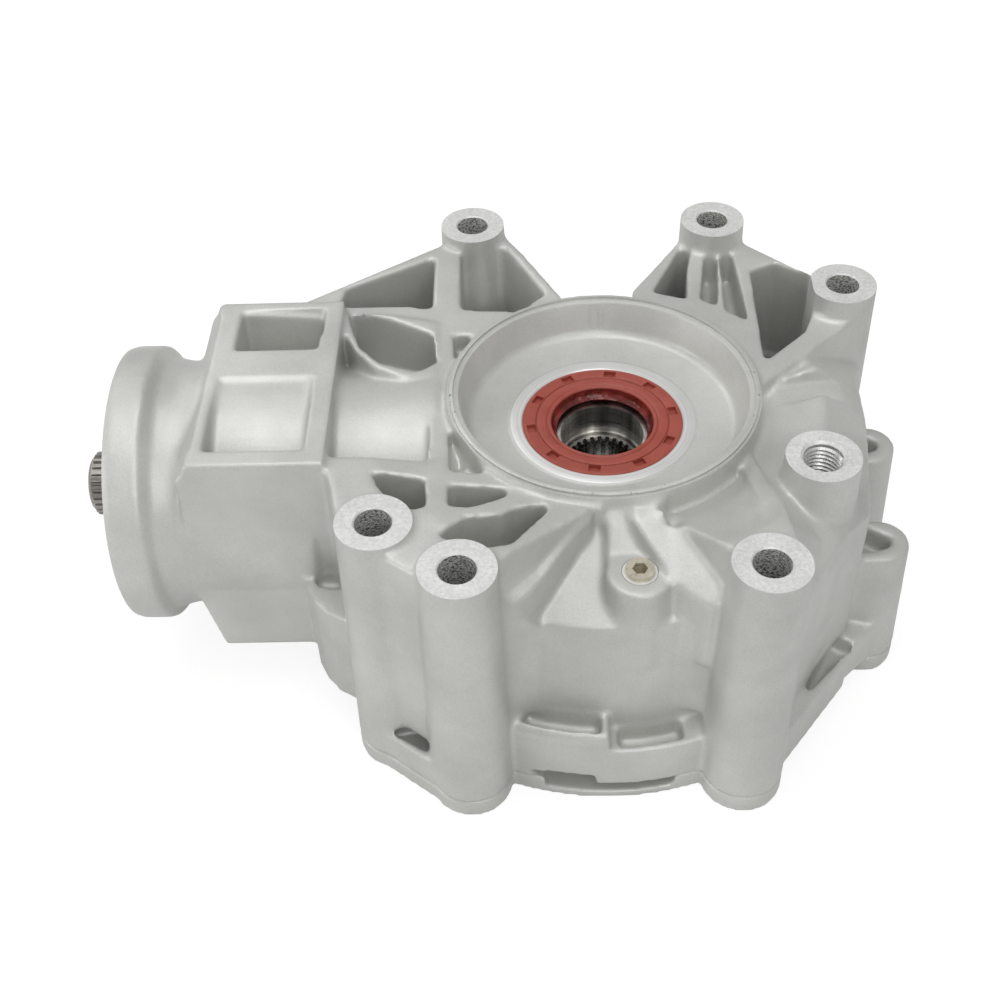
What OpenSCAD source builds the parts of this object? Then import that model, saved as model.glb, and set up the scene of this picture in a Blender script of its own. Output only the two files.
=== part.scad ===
// Rear differential, lying on its side cover with the axle axis upright.
// Origin: where the axle axis meets the outer face of the side cover. +Z follows the axle axis
// towards the seal that shows, and the pinion points to -X.

/* [Mounting bosses] */
// Height of the machined boss faces above the cover's outer face
boss_top = 117; // [112:1:124]
// Outer radius of a mounting boss at its machined face
boss_r = 13; // [11:0.5:15]
// Diameter of the through holes for the mounting bolts
mount_hole_d = 12.6; // [10.2:0.2:14.6]
// Distance between the holes of a boss pair, along X
pair_pitch = 99; // [90:1:108]
// X of the left boss of the rear pair
rear_pair_x = -49; // [-53:1:-45]
// Y of the rear pair
rear_pair_y = 100; // [96:1:106]
// X of the left boss of the front pair
front_pair_x = -51; // [-55:1:-47]
// Y of the front pair
front_pair_y = -93.5; // [-100:0.5:-90]
// X of the single boss on the right
right_boss_x = 95.5; // [92:0.5:100]
// Y of the single boss on the right
right_boss_y = 53; // [48:1:58]
// X of the single boss beside the neck
neck_boss_x = -79; // [-84:1:-76]
// Y of the single boss beside the neck
neck_boss_y = -72; // [-78:1:-68]
// X of the threaded boss
thread_boss_x = 72; // [68:1:76]
// Y of the threaded boss
thread_boss_y = -45; // [-50:1:-41]
// Tapping diameter of the threaded boss
thread_hole_d = 13.8; // [10:0.2:15]
// Depth of the threaded hole
thread_depth = 30; // [20:1:40]

/* [Cup round the axle] */
// Height of the cup's rim
rim_top = 111; // [108:1:114]
// Outer radius of the rim
rim_r = 57.5; // [55:0.5:60]
// Radius of the machined recess inside the rim
cup_r = 51.5; // [48:0.5:53]
// Height of the seal's outer face
seal_face = 96; // [94:0.5:98]
// Outer radius of the bright ring that the seal sits in
seat_ring_r = 34.3; // [33:0.1:37]

/* [Main casting] */
// How far the upright wall round the gears stands inside the skirt
wall_inset = 11.5; // [8:0.5:12.5]
// Thickness of that wall
wall_t = 5; // [4:0.5:7]
// Radius of the thick skirt at the joint with the cover
skirt_r = 101.5; // [100:0.5:104]
// Height where the skirt ends in a ledge
skirt_top = 36; // [34:1:42]
// Height where the sloping roof meets the wall
shoulder_top = 80; // [76:1:84]
// Thickness of the cast ribs
rib_t = 5.5; // [4:0.5:8]
// Width of the window in the skirt
window_w = 53; // [44:1:58]
// Height of the window in the skirt
window_h = 9.7; // [8:0.1:11]

/* [Pinion neck] */
// Height of the pinion axis
pinion_z = 69; // [68:0.5:70]
// Distance from the axle axis to the nose's front face
nose_x = 178; // [172:1:186]
// Outer radius of the ring at the nose
nose_r = 52.5; // [50:0.5:55]
// Width of that ring
nose_ring_w = 12.5; // [9:0.5:14]
// Outer radius of the neck tube
neck_r = 46.5; // [44:0.5:48]
// Half width of the neck's boxed stretch towards the front
box_front = 44; // [42:1:48]
// Half width of the neck's boxed stretch towards the rear
box_rear = 50; // [46:1:54]
// Outer radius of the tube between the box and the rim
throat_r = 41.5; // [40:0.5:44]
// Distance that the splined end stands in front of the nose
spline_out = 18; // [12:1:30]

/* [Gears] */
// Teeth of the ring gear
ring_teeth = 41; // [37:1:43]
// Teeth of the pinion
pinion_teeth = 12; // [11:1:13]
// Outer module of ring gear and pinion
drive_module = 3.4; // [3.2:0.05:3.5]
// Face width of ring gear and pinion
drive_face = 22; // [18:1:24]
// Spiral angle of ring gear and pinion
spiral = 30; // [20:1:35]
// Teeth of a side gear
side_teeth = 16; // [16:2:18]
// Teeth of a spider gear
spider_teeth = 10; // [10:2:10]
// Outer module of side and spider gears
side_module = 2.6; // [2.5:0.05:2.7]
// Play that each flank leaves to its neighbour
flank_play = 0.12; // [0.08:0.01:0.2]

/* [Bearings] */
// Bore radius of a carrier bearing
ball_bore = 20; // [19.5:0.1:20.5]
// Outer radius of a carrier bearing
ball_outer = 34; // [33:0.5:35]
// Width of a carrier bearing
ball_width = 15; // [14:0.5:16]
// Balls in a carrier bearing
ball_count = 12; // [10:1:13]
// Bore radius of the pinion's inner bearing
head_bore = 17.5; // [17:0.1:18]
// Outer radius of the pinion's inner bearing
head_outer = 36; // [35:0.5:37]
// Width of the pinion's inner bearing
head_width = 18; // [17:0.5:19]
// Bore radius of the pinion's outer bearing
tail_bore = 15; // [14.6:0.1:15.4]
// Outer radius of the pinion's outer bearing
tail_outer = 31; // [30:0.5:32]
// Width of the pinion's outer bearing
tail_width = 17; // [16:0.5:18]
// Rollers in a pinion bearing
roller_count = 16; // [14:1:17]

/* [Fasteners and seals] */
// Radius of the axle seals
seal_r = 29.8; // [29:0.1:31]
// Radius of the seal's lip
seal_lip_r = 17.1; // [16.6:0.1:18]
// Bolts of the side cover
cover_bolts = 8; // [6:1:10]
// How far the cover's bolt circle lies inside the skirt
cover_bolt_inset = 8.5; // [8:0.5:9.5]
// Bolts of the ring gear
gear_bolts = 10; // [8:1:12]
// How far the ring gear's bolt circle lies inside the edge of the case's flange
gear_bolt_inset = 8.5; // [8:0.5:9]
// Thickness of the side cover
cover_t = 8; // [7:0.5:10]

/* [Hidden] */
$fn = 96;

// Fits and clearances
run = 0.05;
apart = 0.3;
over = 1;

// Places of the mounting bosses
rear_left = [rear_pair_x, rear_pair_y];
rear_right = [rear_pair_x + pair_pitch, rear_pair_y];
front_left = [front_pair_x, front_pair_y];
front_right = [front_pair_x + pair_pitch, front_pair_y];
right_boss = [right_boss_x, right_boss_y];
neck_boss = [neck_boss_x, neck_boss_y];
thread_boss = [thread_boss_x, thread_boss_y];
through_bosses = [rear_left, rear_right, front_left, front_right, right_boss, neck_boss];
foot_r = boss_r + 2;
upper_lug = [107.5, 21];
lower_lug = [102.5, -32];
lug_r = 10.5;
lug_foot_r = 13;
lug_top = 62;
flank = [82, -50.5];
flank_w = 25;
foot_top = 22;
trough = 7;
ledge_step = 8;
flank_top = skirt_top - ledge_step;
ledge_left_trough = [[-35, -110], [-30, -80], [-4, -80], [-4, -110]];
ledge_right = [[-1, -110], [-1, -80], [32, -80], [34, -110]];
ledge_right_trough = [[2, -110], [2, -80], [24, -80], [28, -110]];
window_low = 4.7;
window_deep = 11;

// Heights along the axle axis
seal_t = 8;
seal_lip = 1.5;
seal_bore_z = seal_face - seal_t;
shoulder_t = 1.5;
upper_bearing_top = seal_bore_z - shoulder_t;
upper_bearing_z = upper_bearing_top - ball_width;
lower_seal_face = 3;
pilot_r = 34;
lower_bearing_z = lower_seal_face + seal_t + shoulder_t;
shim_t = 0.5;
case_low = lower_bearing_z + ball_width + shim_t;
case_high = upper_bearing_z - shim_t;
case_z = (case_low + case_high) / 2;
case_half = (case_high - case_low) / 2;
trunnion_end = 7;
trunnion_top = seal_face - trunnion_end;
trunnion_low = lower_seal_face + trunnion_end;

// Cavity for the gears
wall_r = skirt_r - wall_inset;
cover_bolt_r = skirt_r - cover_bolt_inset;
cavity_r = wall_r - wall_t;
drain_plug_at = polar(cavity_r - 10, 146);
cavity_roof = upper_bearing_top + 0.5;
cavity_shoulder = shoulder_top - 10;
bearing_wall = 6;
spigot_h = 6;

// Ring gear and pinion share the cone apex on the axle axis
ring_pitch_r = ring_teeth * drive_module / 2;
pinion_pitch_r = pinion_teeth * drive_module / 2;
drive_cone = norm([ring_pitch_r, pinion_pitch_r]);
ring_delta = atan(ring_teeth / pinion_teeth);
pinion_delta = 90 - ring_delta;
drive_inner = drive_cone - drive_face;
tooth_land = 1.4;

// Side and spider gears share their apex at the case's centre
side_pitch_r = side_teeth * side_module / 2;
spider_pitch_r = spider_teeth * side_module / 2;
side_cone = norm([side_pitch_r, spider_pitch_r]);
side_delta = atan(side_teeth / spider_teeth);
spider_delta = 90 - side_delta;
side_face_w = 8.5;
side_inner = side_cone - side_face_w;

// Boxed stretch of the neck, measured from the axle axis
box_near = 98;
box_far = 147;
box_low = 22;

// Decks and arms round the rim
deck_drop = 2.5;
rear_left_drop = 5;
rear_right_drop = 9;
arm_low = 30;
throat_low = 24;
bulge_low = 17;
bulge_top = 63;

// Case
case_r = 44;
case_flange_r = 62;
gear_bolt_r = case_flange_r - gear_bolt_inset;
lock_x = case_r - 8;
lock_r = 2.5;
case_flange_t = 8;
case_ball_r = 27.7;
washer_t = 1;
hub_r = 15;
hub_end = 26.6;
side_back = 19.6;
pin_r = 7.2;
window_half = 17;
window_in = 16;

// Pinion bearings, measured from the axle axis towards the nose
head_x = 79;
spacer_end = nose_x - 50;
tail_x = spacer_end;
nut_x = tail_x + tail_width;
nut_w = 7;
pinion_seal_x = nut_x + nut_w + 3;
pinion_seal_r = 27;
pinion_seal_t = 8;
pinion_seal_lip = 13.4;
nose_bore_r = 40;
head_room_r = 25.5;
spline_r = 12.25;

// Screws of the cover and of the ring gear
cover_screw_r = 3.4;
cover_head_r = 6.5;
cover_head_h = 4;
cover_head_sink = 0.5;
cover_screw_l = 20;
gear_screw_r = 4;
gear_head_r = 6.3;
gear_head_h = 5;
gear_screw_l = 9;
dowel_r = 4;
dowel_low = 3.2;
dowel_l = 14;

// Plugs
level_plug_at = [8.5, -77];
level_plug_z = 96;
plug_r = 5;

function polar(r, a) = [r * cos(a), r * sin(a)];
function inv(a) = tan(a) * 180 / PI - a;
cover_bolt_at = [for (i = [0:cover_bolts - 1]) polar(cover_bolt_r, 22 + i * 360 / cover_bolts)];
dowel_at = [polar(cover_bolt_r, 0), polar(cover_bolt_r, 180)];

// Upright wall from p to q, t thick, from height low up to heights zp and zq
module rib(p, q, t, low, zp, zq) {
    d = q - p;
    translate([p.x, p.y, 0])
        rotate([0, 0, atan2(d.y, d.x)])
            rotate([90, 0, 0])
                translate([0, 0, -t / 2])
                    linear_extrude(t)
                        polygon([[0, low], [norm(d), low], [norm(d), zq], [0, zp]]);
}

// Straight strip from p to q in plan, and a flat-topped bar over it
module strip(p, q, t) {
    d = q - p;
    translate(p)
        rotate(atan2(d.y, d.x))
            translate([0, -t / 2])
                square([norm(d), t]);
}

module bar(p, q, t, low, high) {
    translate([0, 0, low]) linear_extrude(high - low) strip(p, q, t);
}

// Ring between two radii
module ring(inner, outer, low, high) {
    translate([0, 0, low])
        difference() {
            cylinder(r = outer, h = high - low);
            translate([0, 0, -over]) cylinder(r = inner, h = high - low + 2 * over);
        }
}

// Turns a piece made along +Z so that it lies along the pinion axis, towards the nose
module along_pinion() {
    translate([0, 0, pinion_z]) rotate([0, -90, 0]) children();
}

module at(p, z = 0) {
    translate([p.x, p.y, z]) children();
}

// Half angle of a tooth at radius r of the virtual spur gear, in degrees
function flank_angle(r, rv, zv, shift, press, play) =
    let (base = rv * cos(press), a = r > base ? acos(base / r) : 0)
    (90 / zv) + (2 * shift * tan(press) / zv) * 180 / PI + inv(press) - inv(a)
        - (play / rv) * 180 / PI;

// One section of a bevel tooth at cone distance s, turned by twist about the gear's axis
function tooth_section(s, cone, delta, m, teeth, add, ded, shift, press, play, steps, twist) =
    let (
        k = s / cone,
        mk = m * k,
        zv = teeth / cos(delta),
        rv = zv * mk / 2,
        low = rv - ded * mk - 0.35 * mk,
        first = rv - ded * mk + 0.3 * mk,
        last = rv + add * mk,
        radii = [for (i = [0:steps]) first + (last - first) * i / steps],
        half = [for (r = radii) flank_angle(r, rv, zv, shift, press, play * k)],
        all_r = concat([low], radii),
        all_a = concat([half[0] * 1.04], half),
        n = len(all_r),
        right = [for (i = [0:n - 1]) [all_r[i], all_a[i]]],
        left = [for (i = [n - 1:-1:0]) [all_r[i], -all_a[i]]]
    )
    [for (p = concat(right, left))
        let (
            radial = p[0] * cos(delta),
            high = s * cos(delta) - (p[0] - rv) * sin(delta),
            turn = p[1] / cos(delta) + twist
        )
        [radial * cos(turn), radial * sin(turn), high]];

// Bevel tooth as a solid through several sections along its face width
module bevel_tooth(cone, inner, delta, m, teeth, add, ded, shift, press, steps, slices, hand) {
    sections = [for (i = [0:slices])
        let (s = inner + (cone - inner) * i / slices)
        tooth_section(s, cone, delta, m, teeth, add, ded, shift, press, flank_play, steps,
            hand * tan(spiral) * ln(s / cone) / sin(delta) * 180 / PI)];
    n = len(sections[0]);
    points = [for (sec = sections) each sec];
    sides = [for (i = [0:slices - 1]) for (j = [0:n - 1])
        let (a = i * n + j, b = i * n + (j + 1) % n)
        each [[a, b, b + n], [a, b + n, a + n]]];
    caps = [for (i = [0, slices]) for (j = [0:n / 2 - 2])
        let (a = i * n + j, b = i * n + n - 1 - j)
        i == 0 ? [a, b, b - 1, a + 1] : [a, a + 1, b - 1, b]];
    polyhedron(points = points, faces = concat(sides, caps));
}

// Points of the root cone at cone distance s: radius and height
function root_point(s, delta, cone, m, ded) =
    let (h = ded * m * s / cone)
    [s * sin(delta) - h * cos(delta), s * cos(delta) + h * sin(delta)];

// Splines as a ring of flat-sided teeth on the outside of a shaft
module outer_spline(root, tip, low, high, count) {
    translate([0, 0, low])
        linear_extrude(high - low)
            for (i = [0:count - 1])
                rotate(i * 360 / count)
                    polygon([
                        [root - 0.6, -root * 0.105], [root - 0.6, root * 0.105],
                        [tip, tip * 0.055], [tip, -tip * 0.055]
                    ]);
}

// Roof, wall and skirt of the casting as one turned form
module bell() {
    rotate_extrude()
        polygon([
            [0, cover_t], [skirt_r, cover_t], [skirt_r, skirt_top - 3], [skirt_r - 2, skirt_top],
            [wall_r, skirt_top], [wall_r - 1, shoulder_top], [rim_r + 3, rim_top - 13],
            [rim_r, rim_top - 10], [rim_r, rim_top - 1.2], [rim_r - 1.2, rim_top], [0, rim_top]
        ]);
}

// Neck tube with the ring at its nose
module neck_tube() {
    along_pinion()
        rotate_extrude()
            polygon([
                [0, rim_r + 3], [throat_r, rim_r + 3], [throat_r, box_near + 4],
                [neck_r, box_near + 8], [neck_r, nose_x - nose_ring_w - 4],
                [nose_r - 2.5, nose_x - nose_ring_w - 2], [nose_r, nose_x - nose_ring_w],
                [nose_r, nose_x - 1.5], [nose_r - 1.5, nose_x], [0, nose_x]
            ]);
}

// Boxed stretch of the neck, with two pockets cut down to the tube
module neck_box() {
    pocket_near = box_near + 8;
    pocket_far = box_far - 6;
    difference() {
        translate([0, box_rear, 0])
            rotate([90, 0, 0])
                linear_extrude(box_front + box_rear)
                    polygon([
                        [4 - wall_r, box_low], [-box_far, box_low], [-box_far - 5, box_low + 25],
                        [-box_far - 4, boss_top - 8], [-box_far + 2, boss_top], [-box_near, boss_top],
                        [-box_near, pinion_z - 20], [4 - wall_r, pinion_z - 20]
                    ]);
        difference() {
            union() {
                translate([-pocket_far, -box_front + 8, pinion_z])
                    cube([pocket_far - pocket_near, box_front - 4, boss_top]);
                translate([-pocket_far + 4, 28, pinion_z])
                    cube([pocket_far - pocket_near - 3, box_rear - 33, boss_top]);
            }
            along_pinion() cylinder(r = neck_r - 1.5, h = nose_x);
        }
    }
}

// Tall column under a mounting boss
module column(p, low) {
    at(p, low) cylinder(r1 = foot_r, r2 = boss_r, h = boss_top - low);
}

// Lug with a three-cornered pocket in its top
module lug(p) {
    at(p, cover_t) cylinder(r1 = lug_foot_r, r2 = lug_r, h = lug_top - cover_t);
    bar([p.x - 20, p.y], [p.x, p.y], 2 * lug_r, cover_t, lug_top);
}

// Space under the tops of the decks, which slope between the rim and the bosses
module under_deck(at_rim, drop) {
    rotate_extrude()
        polygon([
            [0, 0], [2 * skirt_r, 0], [2 * skirt_r, boss_top - drop], [wall_r, boss_top - drop],
            [rim_r, at_rim], [0, at_rim]
        ]);
}

// Deck between bosses and rim, as an upright block over an outline
module deck(low, outline, at_rim = rim_top - deck_drop, drop = deck_drop) {
    intersection() {
        translate([0, 0, low]) linear_extrude(boss_top) polygon(outline);
        under_deck(at_rim, drop);
    }
}

// Pocket over an outline, from a floor up to the deck or to the height given
module pocket(floor_z, outline, top = boss_top) {
    translate([0, 0, floor_z]) linear_extrude(top - floor_z + over) polygon(outline);
}

// Arm that carries the rear left boss, open in two deep pockets
module rear_left_arm() {
    p = rear_left;
    difference() {
        deck(arm_low, [
            p + [-boss_r, -6], [-box_near - 18, box_rear + 6], [-box_near - 12, box_rear - 8],
            [-box_near, box_rear - 12], [-61, 40], [-52, 30], [-20, 50], [-12, 58], p + [boss_r, 0]
        ], drop = rear_left_drop);
        pocket(arm_low + 8, [
            p + [-15.5, -15], [-box_near - 1, box_rear + 15], [-box_near - 3, box_rear + 3],
            p + [-15.5, -48]
        ]);
        pocket(arm_low + 8, [
            p + [-5, -13], p + [-4, -48], [-30, 52], [-20, 62], p + [13, -9]
        ]);
    }
    // Band from the boss past the rim to the front wall of the neck
    deck(60, [p + [-14, -8], p + [-5, -8], [-54, -40], [-63, -40]], drop = rear_left_drop);
}

// Wall round the angular pocket on top of the tube between box and rim
module throat_pocket() {
    outline = [
        [-box_near - 1, box_rear - 4], [-62, box_rear - 8], [-62, 13], [-72, 8.5], [-84, 12], [-92, 21],
        [-97, 32], [-box_near - 1, 36]
    ];
    difference() {
        deck(pinion_z, outline);
        pocket(pinion_z, [
            [-box_near + 2, 44], [-64.5, 34.5], [-63.5, 20.5], [-70, 15], [-82, 18], [-89, 25.5], [-94, 36]
        ]);
    }
}

// Arm that carries the rear right boss, with the ribs between its pockets
module rear_right_arm() {
    p = rear_right;
    q = right_boss;
    difference() {
        deck(arm_low, [
            p + [-boss_r, -1], [15, 64], [14, 50], [55, 0], [58, 3], q + [5, -11], q + [1, boss_r - 3],
            p + [boss_r, -4]
        ], drop = rear_right_drop);
        pocket(arm_low + 8, [p + [-13, -9], [25.5, 65], [34, 60.5], p + [-9, -8]]);
        pocket(rim_top - 15, [p + [-1, -12], [44.5, 58], [48, 55], p + [1.5, -12]]);
        pocket(rim_top - 15, [p + [3.5, -12], [50.5, 52], [55.5, 46], p + [6.5, -12]]);
        pocket(arm_low + 8, [
            p + [15, -26], p + [24, -20], q + [-9, 17], q + [-12.5, 6], q + [-12.5, -5], q + [-17, -16],
            [63, 22]
        ]);
    }
}

// Corner between the neck and the front left bosses
module front_left_deck() {
    e = neck_boss;
    f = front_left;
    y = -box_front;
    difference() {
        deck(throat_low, [
            [-box_near, y + 7], [-62, y + 7], [-50, -30], [-10, -50], [-7, -60], f + [12, 4], f,
            f + [-6, -6], e + [0, -boss_r + 2], e + [-boss_r, 2], [-box_near + 2, y - 6], [-box_near, y]
        ]);
        pocket(rim_top - 34, [
            [-81, y - 5], [-66, y - 5], [-64, y - 7], [-64, y - 17], [-68, y - 20], [-74, y - 15]
        ]);
        pocket(rim_top - 26, [
            [-55, y - 7], [-38, y - 6], [-37, y - 9], [-50, y - 16], [-54, y - 15]
        ]);
        pocket(rim_top - 30, [
            f + [-7, 18], f + [4, 27], [-26, -61], [-23, -62], [-30, -71], f + [11, 12], f + [0, 14]
        ]);
        pocket(rim_top - 22, [f + [18, 4], f + [40, 30], f + [41, 28], f + [34, 10]]);
    }
    // Hook-like ends of the ribs at the rim
    deck(60, [[-22, -52], [-14, -57], [-3, -60], [-3, -50], [-12, -46]]);
}

// Ribs on the front, between the plug and the right front boss
module front_right_ribs() {
    g = front_right;
    deck(60, [[4, -52], [14, -53], [24, -60], [22, -63], [12, -58], [8, -60]]);
    // Broad web from the rim up to the boss
    deck(60, [
        g + [-11, 6], [26, -70], [18, -57], [20, -50], [34, -44], [46, -32], [52, -28], [56, -34],
        g + [10, 6]
    ], rim_top - 11);
    // Ridge along its right edge
    deck(60, [[46, -33], [51, -28], g + [11, 10], g + [4, 11]], rim_top - 7);
    // Short bar on the right shoulder
    deck(60, [[64, 4], [65, 9], [84, 17], [85, 12]], rim_top - 9);
}

module web() {
    rear_left_arm();
    throat_pocket();
    rear_right_arm();
    front_left_deck();
    front_right_ribs();
    // Front wall of the neck
    rib([-box_far, 4 - box_front], [-62, 4 - box_front], 8, box_low, boss_top, rim_top - 1);
    // Rear wall of the neck
    rib([-box_far, box_rear - 4], [-62, box_rear - 10], 8, box_low, boss_top, rim_top - 1);
    // Wall between the two left front bosses
    bar(neck_boss + [-3, -1], neck_boss + [20, -1], boss_r, cover_t, rim_top - deck_drop);
    // Bulge in the corner between the neck and the boss beside it, with a small pocket on top
    difference() {
        translate([0, 0, bulge_low])
            linear_extrude(bulge_top - bulge_low)
                polygon([
                    neck_boss, [-84, 30], [-box_near - 13, 26], [-box_near - 13, -box_front + 4],
                    neck_boss + [-31, 22], neck_boss + [-27, 14], neck_boss + [-22, 8],
                    neck_boss + [-15, 4]
                ]);
        pocket(bulge_top - 5, [
            [-box_near - 10, -box_front - 1], [-box_near + 1, -box_front - 1],
            [-box_near + 2, -box_front - 8], [-box_near - 7, -box_front - 7]
        ]);
    }
}

// Right side of the casting, where the roof runs out past the round wall
module right_shoulder() {
    intersection() {
        translate([0, 0, cover_t])
            linear_extrude(boss_top)
                polygon([
                    [46, -90], [62, -88], thread_boss + [8, -16], thread_boss + [19, -4], [97, -6],
                    [99, 22], right_boss + [11, -9], right_boss + [4, 3], [50, 4], [40, 0], [57, -40],
                    [61, -60]
                ]);
        rotate_extrude()
            polygon([
                [0, 0], [112, 0], [112, 86], [skirt_r - 3, 95], [80, rim_top - 4],
                [rim_r + 2, rim_top - 9], [0, rim_top - 9]
            ]);
    }
}

// Boss for the level plug, with its web that falls from the rim
module plug_boss() {
    p = level_plug_at;
    at(p, 60) cylinder(r1 = 13, r2 = 11.5, h = level_plug_z - 60);
    intersection() {
        translate([0, 0, 60])
            linear_extrude(boss_top)
                polygon([[-2, 4 - rim_r], p + [-11, 1], p + [10, -4], p + [15, 5], [8, 4 - rim_r]]);
        rotate_extrude()
            polygon([
                [0, 0], [skirt_r, 0], [skirt_r, level_plug_z], [norm(p) - 9, level_plug_z],
                [rim_r, rim_top - 4], [0, rim_top - 4]
            ]);
    }
}

module casting() {
    bell();
    neck_tube();
    neck_box();
    web();
    right_shoulder();
    plug_boss();
    for (p = through_bosses) column(p, cover_t);
    column(thread_boss, 60);
    lug(upper_lug);
    lug(lower_lug);
    // Flat foot between the corner column and the front column
    bar(neck_boss, front_left, 2 * foot_r - 2, cover_t, foot_top);
    // Flank between the front column and the lower lug
    bar(front_right, flank, flank_w, cover_t, flank_top);
    bar(flank, lower_lug, 2 * lug_r, cover_t, flank_top);
}

// Room for the gears, open to the cover
module gear_room() {
    rotate_extrude()
        polygon([
            [0, 0], [cavity_r, 0], [cavity_r, cavity_shoulder], [rim_r, cavity_roof],
            [ball_outer + bearing_wall, cavity_roof],
            [ball_outer + bearing_wall, upper_bearing_z - shim_t],
            [0, upper_bearing_z - shim_t]
        ]);
}

// Bores round the axle axis above the gear room
module axle_bores() {
    translate([0, 0, upper_bearing_z - over])
        cylinder(r = ball_outer, h = ball_width + over);
    translate([0, 0, upper_bearing_top - over])
        cylinder(r = seal_r - 3, h = shoulder_t + 2 * over);
    translate([0, 0, seal_bore_z]) cylinder(r = seal_r, h = rim_top);
    // Recess inside the rim, with a sloping floor round the seal's ring
    rotate_extrude()
        polygon([
            [seat_ring_r, seal_face], [seat_ring_r + 1.5, seal_face - 0.6],
            [cup_r - 9, seal_face + 1.5], [cup_r - 2.5, seal_face + 4.5], [cup_r, seal_face + 8],
            [cup_r, rim_top - 2], [cup_r + 2, rim_top - 2], [cup_r + 2.6, rim_top + over],
            [0, rim_top + over], [0, seal_face]
        ]);
}

// Bores along the pinion axis
module pinion_bores() {
    along_pinion()
        rotate_extrude()
            polygon([
                [0, 44], [head_room_r, 44], [head_room_r, head_x - 4],
                [head_outer - 0.5, head_x - 4], [head_outer - 0.5, head_x], [head_outer, head_x],
                [head_outer, head_x + head_width], [head_outer - 5, head_x + head_width],
                [head_outer - 5, head_x + head_width + 4], [tail_outer - 5, head_x + head_width + 9],
                [tail_outer - 5, tail_x], [tail_outer, tail_x], [tail_outer, tail_x + tail_width],
                [pinion_seal_r, tail_x + tail_width], [pinion_seal_r, pinion_seal_x + pinion_seal_t],
                [nose_bore_r - 4, pinion_seal_x + pinion_seal_t + 1],
                [nose_bore_r, pinion_seal_x + pinion_seal_t + 6],
                [nose_bore_r, nose_x - 2], [nose_bore_r + 2, nose_x], [nose_bore_r + 2, nose_x + over],
                [0, nose_x + over]
            ]);
}

// Space round the axle axis between two radii, over an outline, upwards from a height
module ledge_cut(inner, outer, low, outline) {
    intersection() {
        ring(inner, outer, low, shoulder_top - 10);
        linear_extrude(boss_top) polygon(outline);
    }
}

module main_housing() {
    color([0.74, 0.75, 0.73])
        difference() {
            casting();
            gear_room();
            axle_bores();
            pinion_bores();
            for (p = through_bosses)
                at(p, -over) cylinder(d = mount_hole_d, h = boss_top + 2 * over);
            at(thread_boss, boss_top - thread_depth) cylinder(d = thread_hole_d, h = thread_depth + over);
            at(thread_boss, boss_top - 1) cylinder(d1 = thread_hole_d, d2 = thread_hole_d + 4, h = 2);
            at(level_plug_at, 70) cylinder(r = plug_r - 1, h = 40);
            at(level_plug_at, level_plug_z - 1) cylinder(r = plug_r + 1.2, h = 3);
            for (p = cover_bolt_at)
                at(p, 0) cylinder(r = cover_screw_r, h = cover_head_sink + cover_head_h + cover_screw_l + 3);
            for (p = dowel_at) at(p, 0) cylinder(r = dowel_r, h = dowel_low + dowel_l + 1);
            // Pockets in the tops of the lugs
            for (p = [upper_lug, lower_lug])
                pocket(lug_top - trough - 2, [
                    p + [-6, 8], p + [-10, 8], p + [-13, -5], p + [-3, -5], p + [3, -3], p + [4, 1]
                ], lug_top + 10);
            // Lower right half of the ledge, and troughs in both halves and in the feet
            ledge_cut(wall_r, skirt_r + over, skirt_top - ledge_step, ledge_right);
            ledge_cut(wall_r + 1, skirt_r - 3, skirt_top - trough, ledge_left_trough);
            ledge_cut(wall_r + 1, skirt_r - 3, skirt_top - ledge_step - trough, ledge_right_trough);
            pocket(cover_t + trough, [
                neck_boss + [-6, -11], neck_boss + [13, -8.5], neck_boss + [14.5, -24]
            ], foot_top);
            pocket(flank_top - trough, [
                front_right + [21.5, 14], front_right + [38, 32], front_right + [46, 40],
                front_right + [38, 44], front_right + [26, 24]
            ], flank_top);
            // Window in the skirt at the joint, with a small notch at its left end
            translate([-window_w / 2 + 2.5, -skirt_r - over, cover_t - over])
                cube([window_w * 0.34, window_deep + over, window_h - window_low + over]);
            translate([-window_w / 2 - 2.5, -skirt_r - over, cover_t + 0.8])
                cube([6, window_deep, 2.8]);
        }
}

// Side cover
module cover_outline() {
    circle(r = skirt_r);
    for (p = through_bosses) {
        translate(p) circle(r = foot_r);
        strip(p / 2, p, foot_r);
    }
    for (p = [upper_lug, lower_lug]) {
        translate(p) circle(r = lug_foot_r);
        strip(p / 2, p, lug_foot_r);
    }
    strip(neck_boss, front_left, 2 * foot_r - 2);
    strip(skirt_r * lower_lug / (2 * norm(lower_lug)), lower_lug, 2 * lug_r);
}

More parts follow.
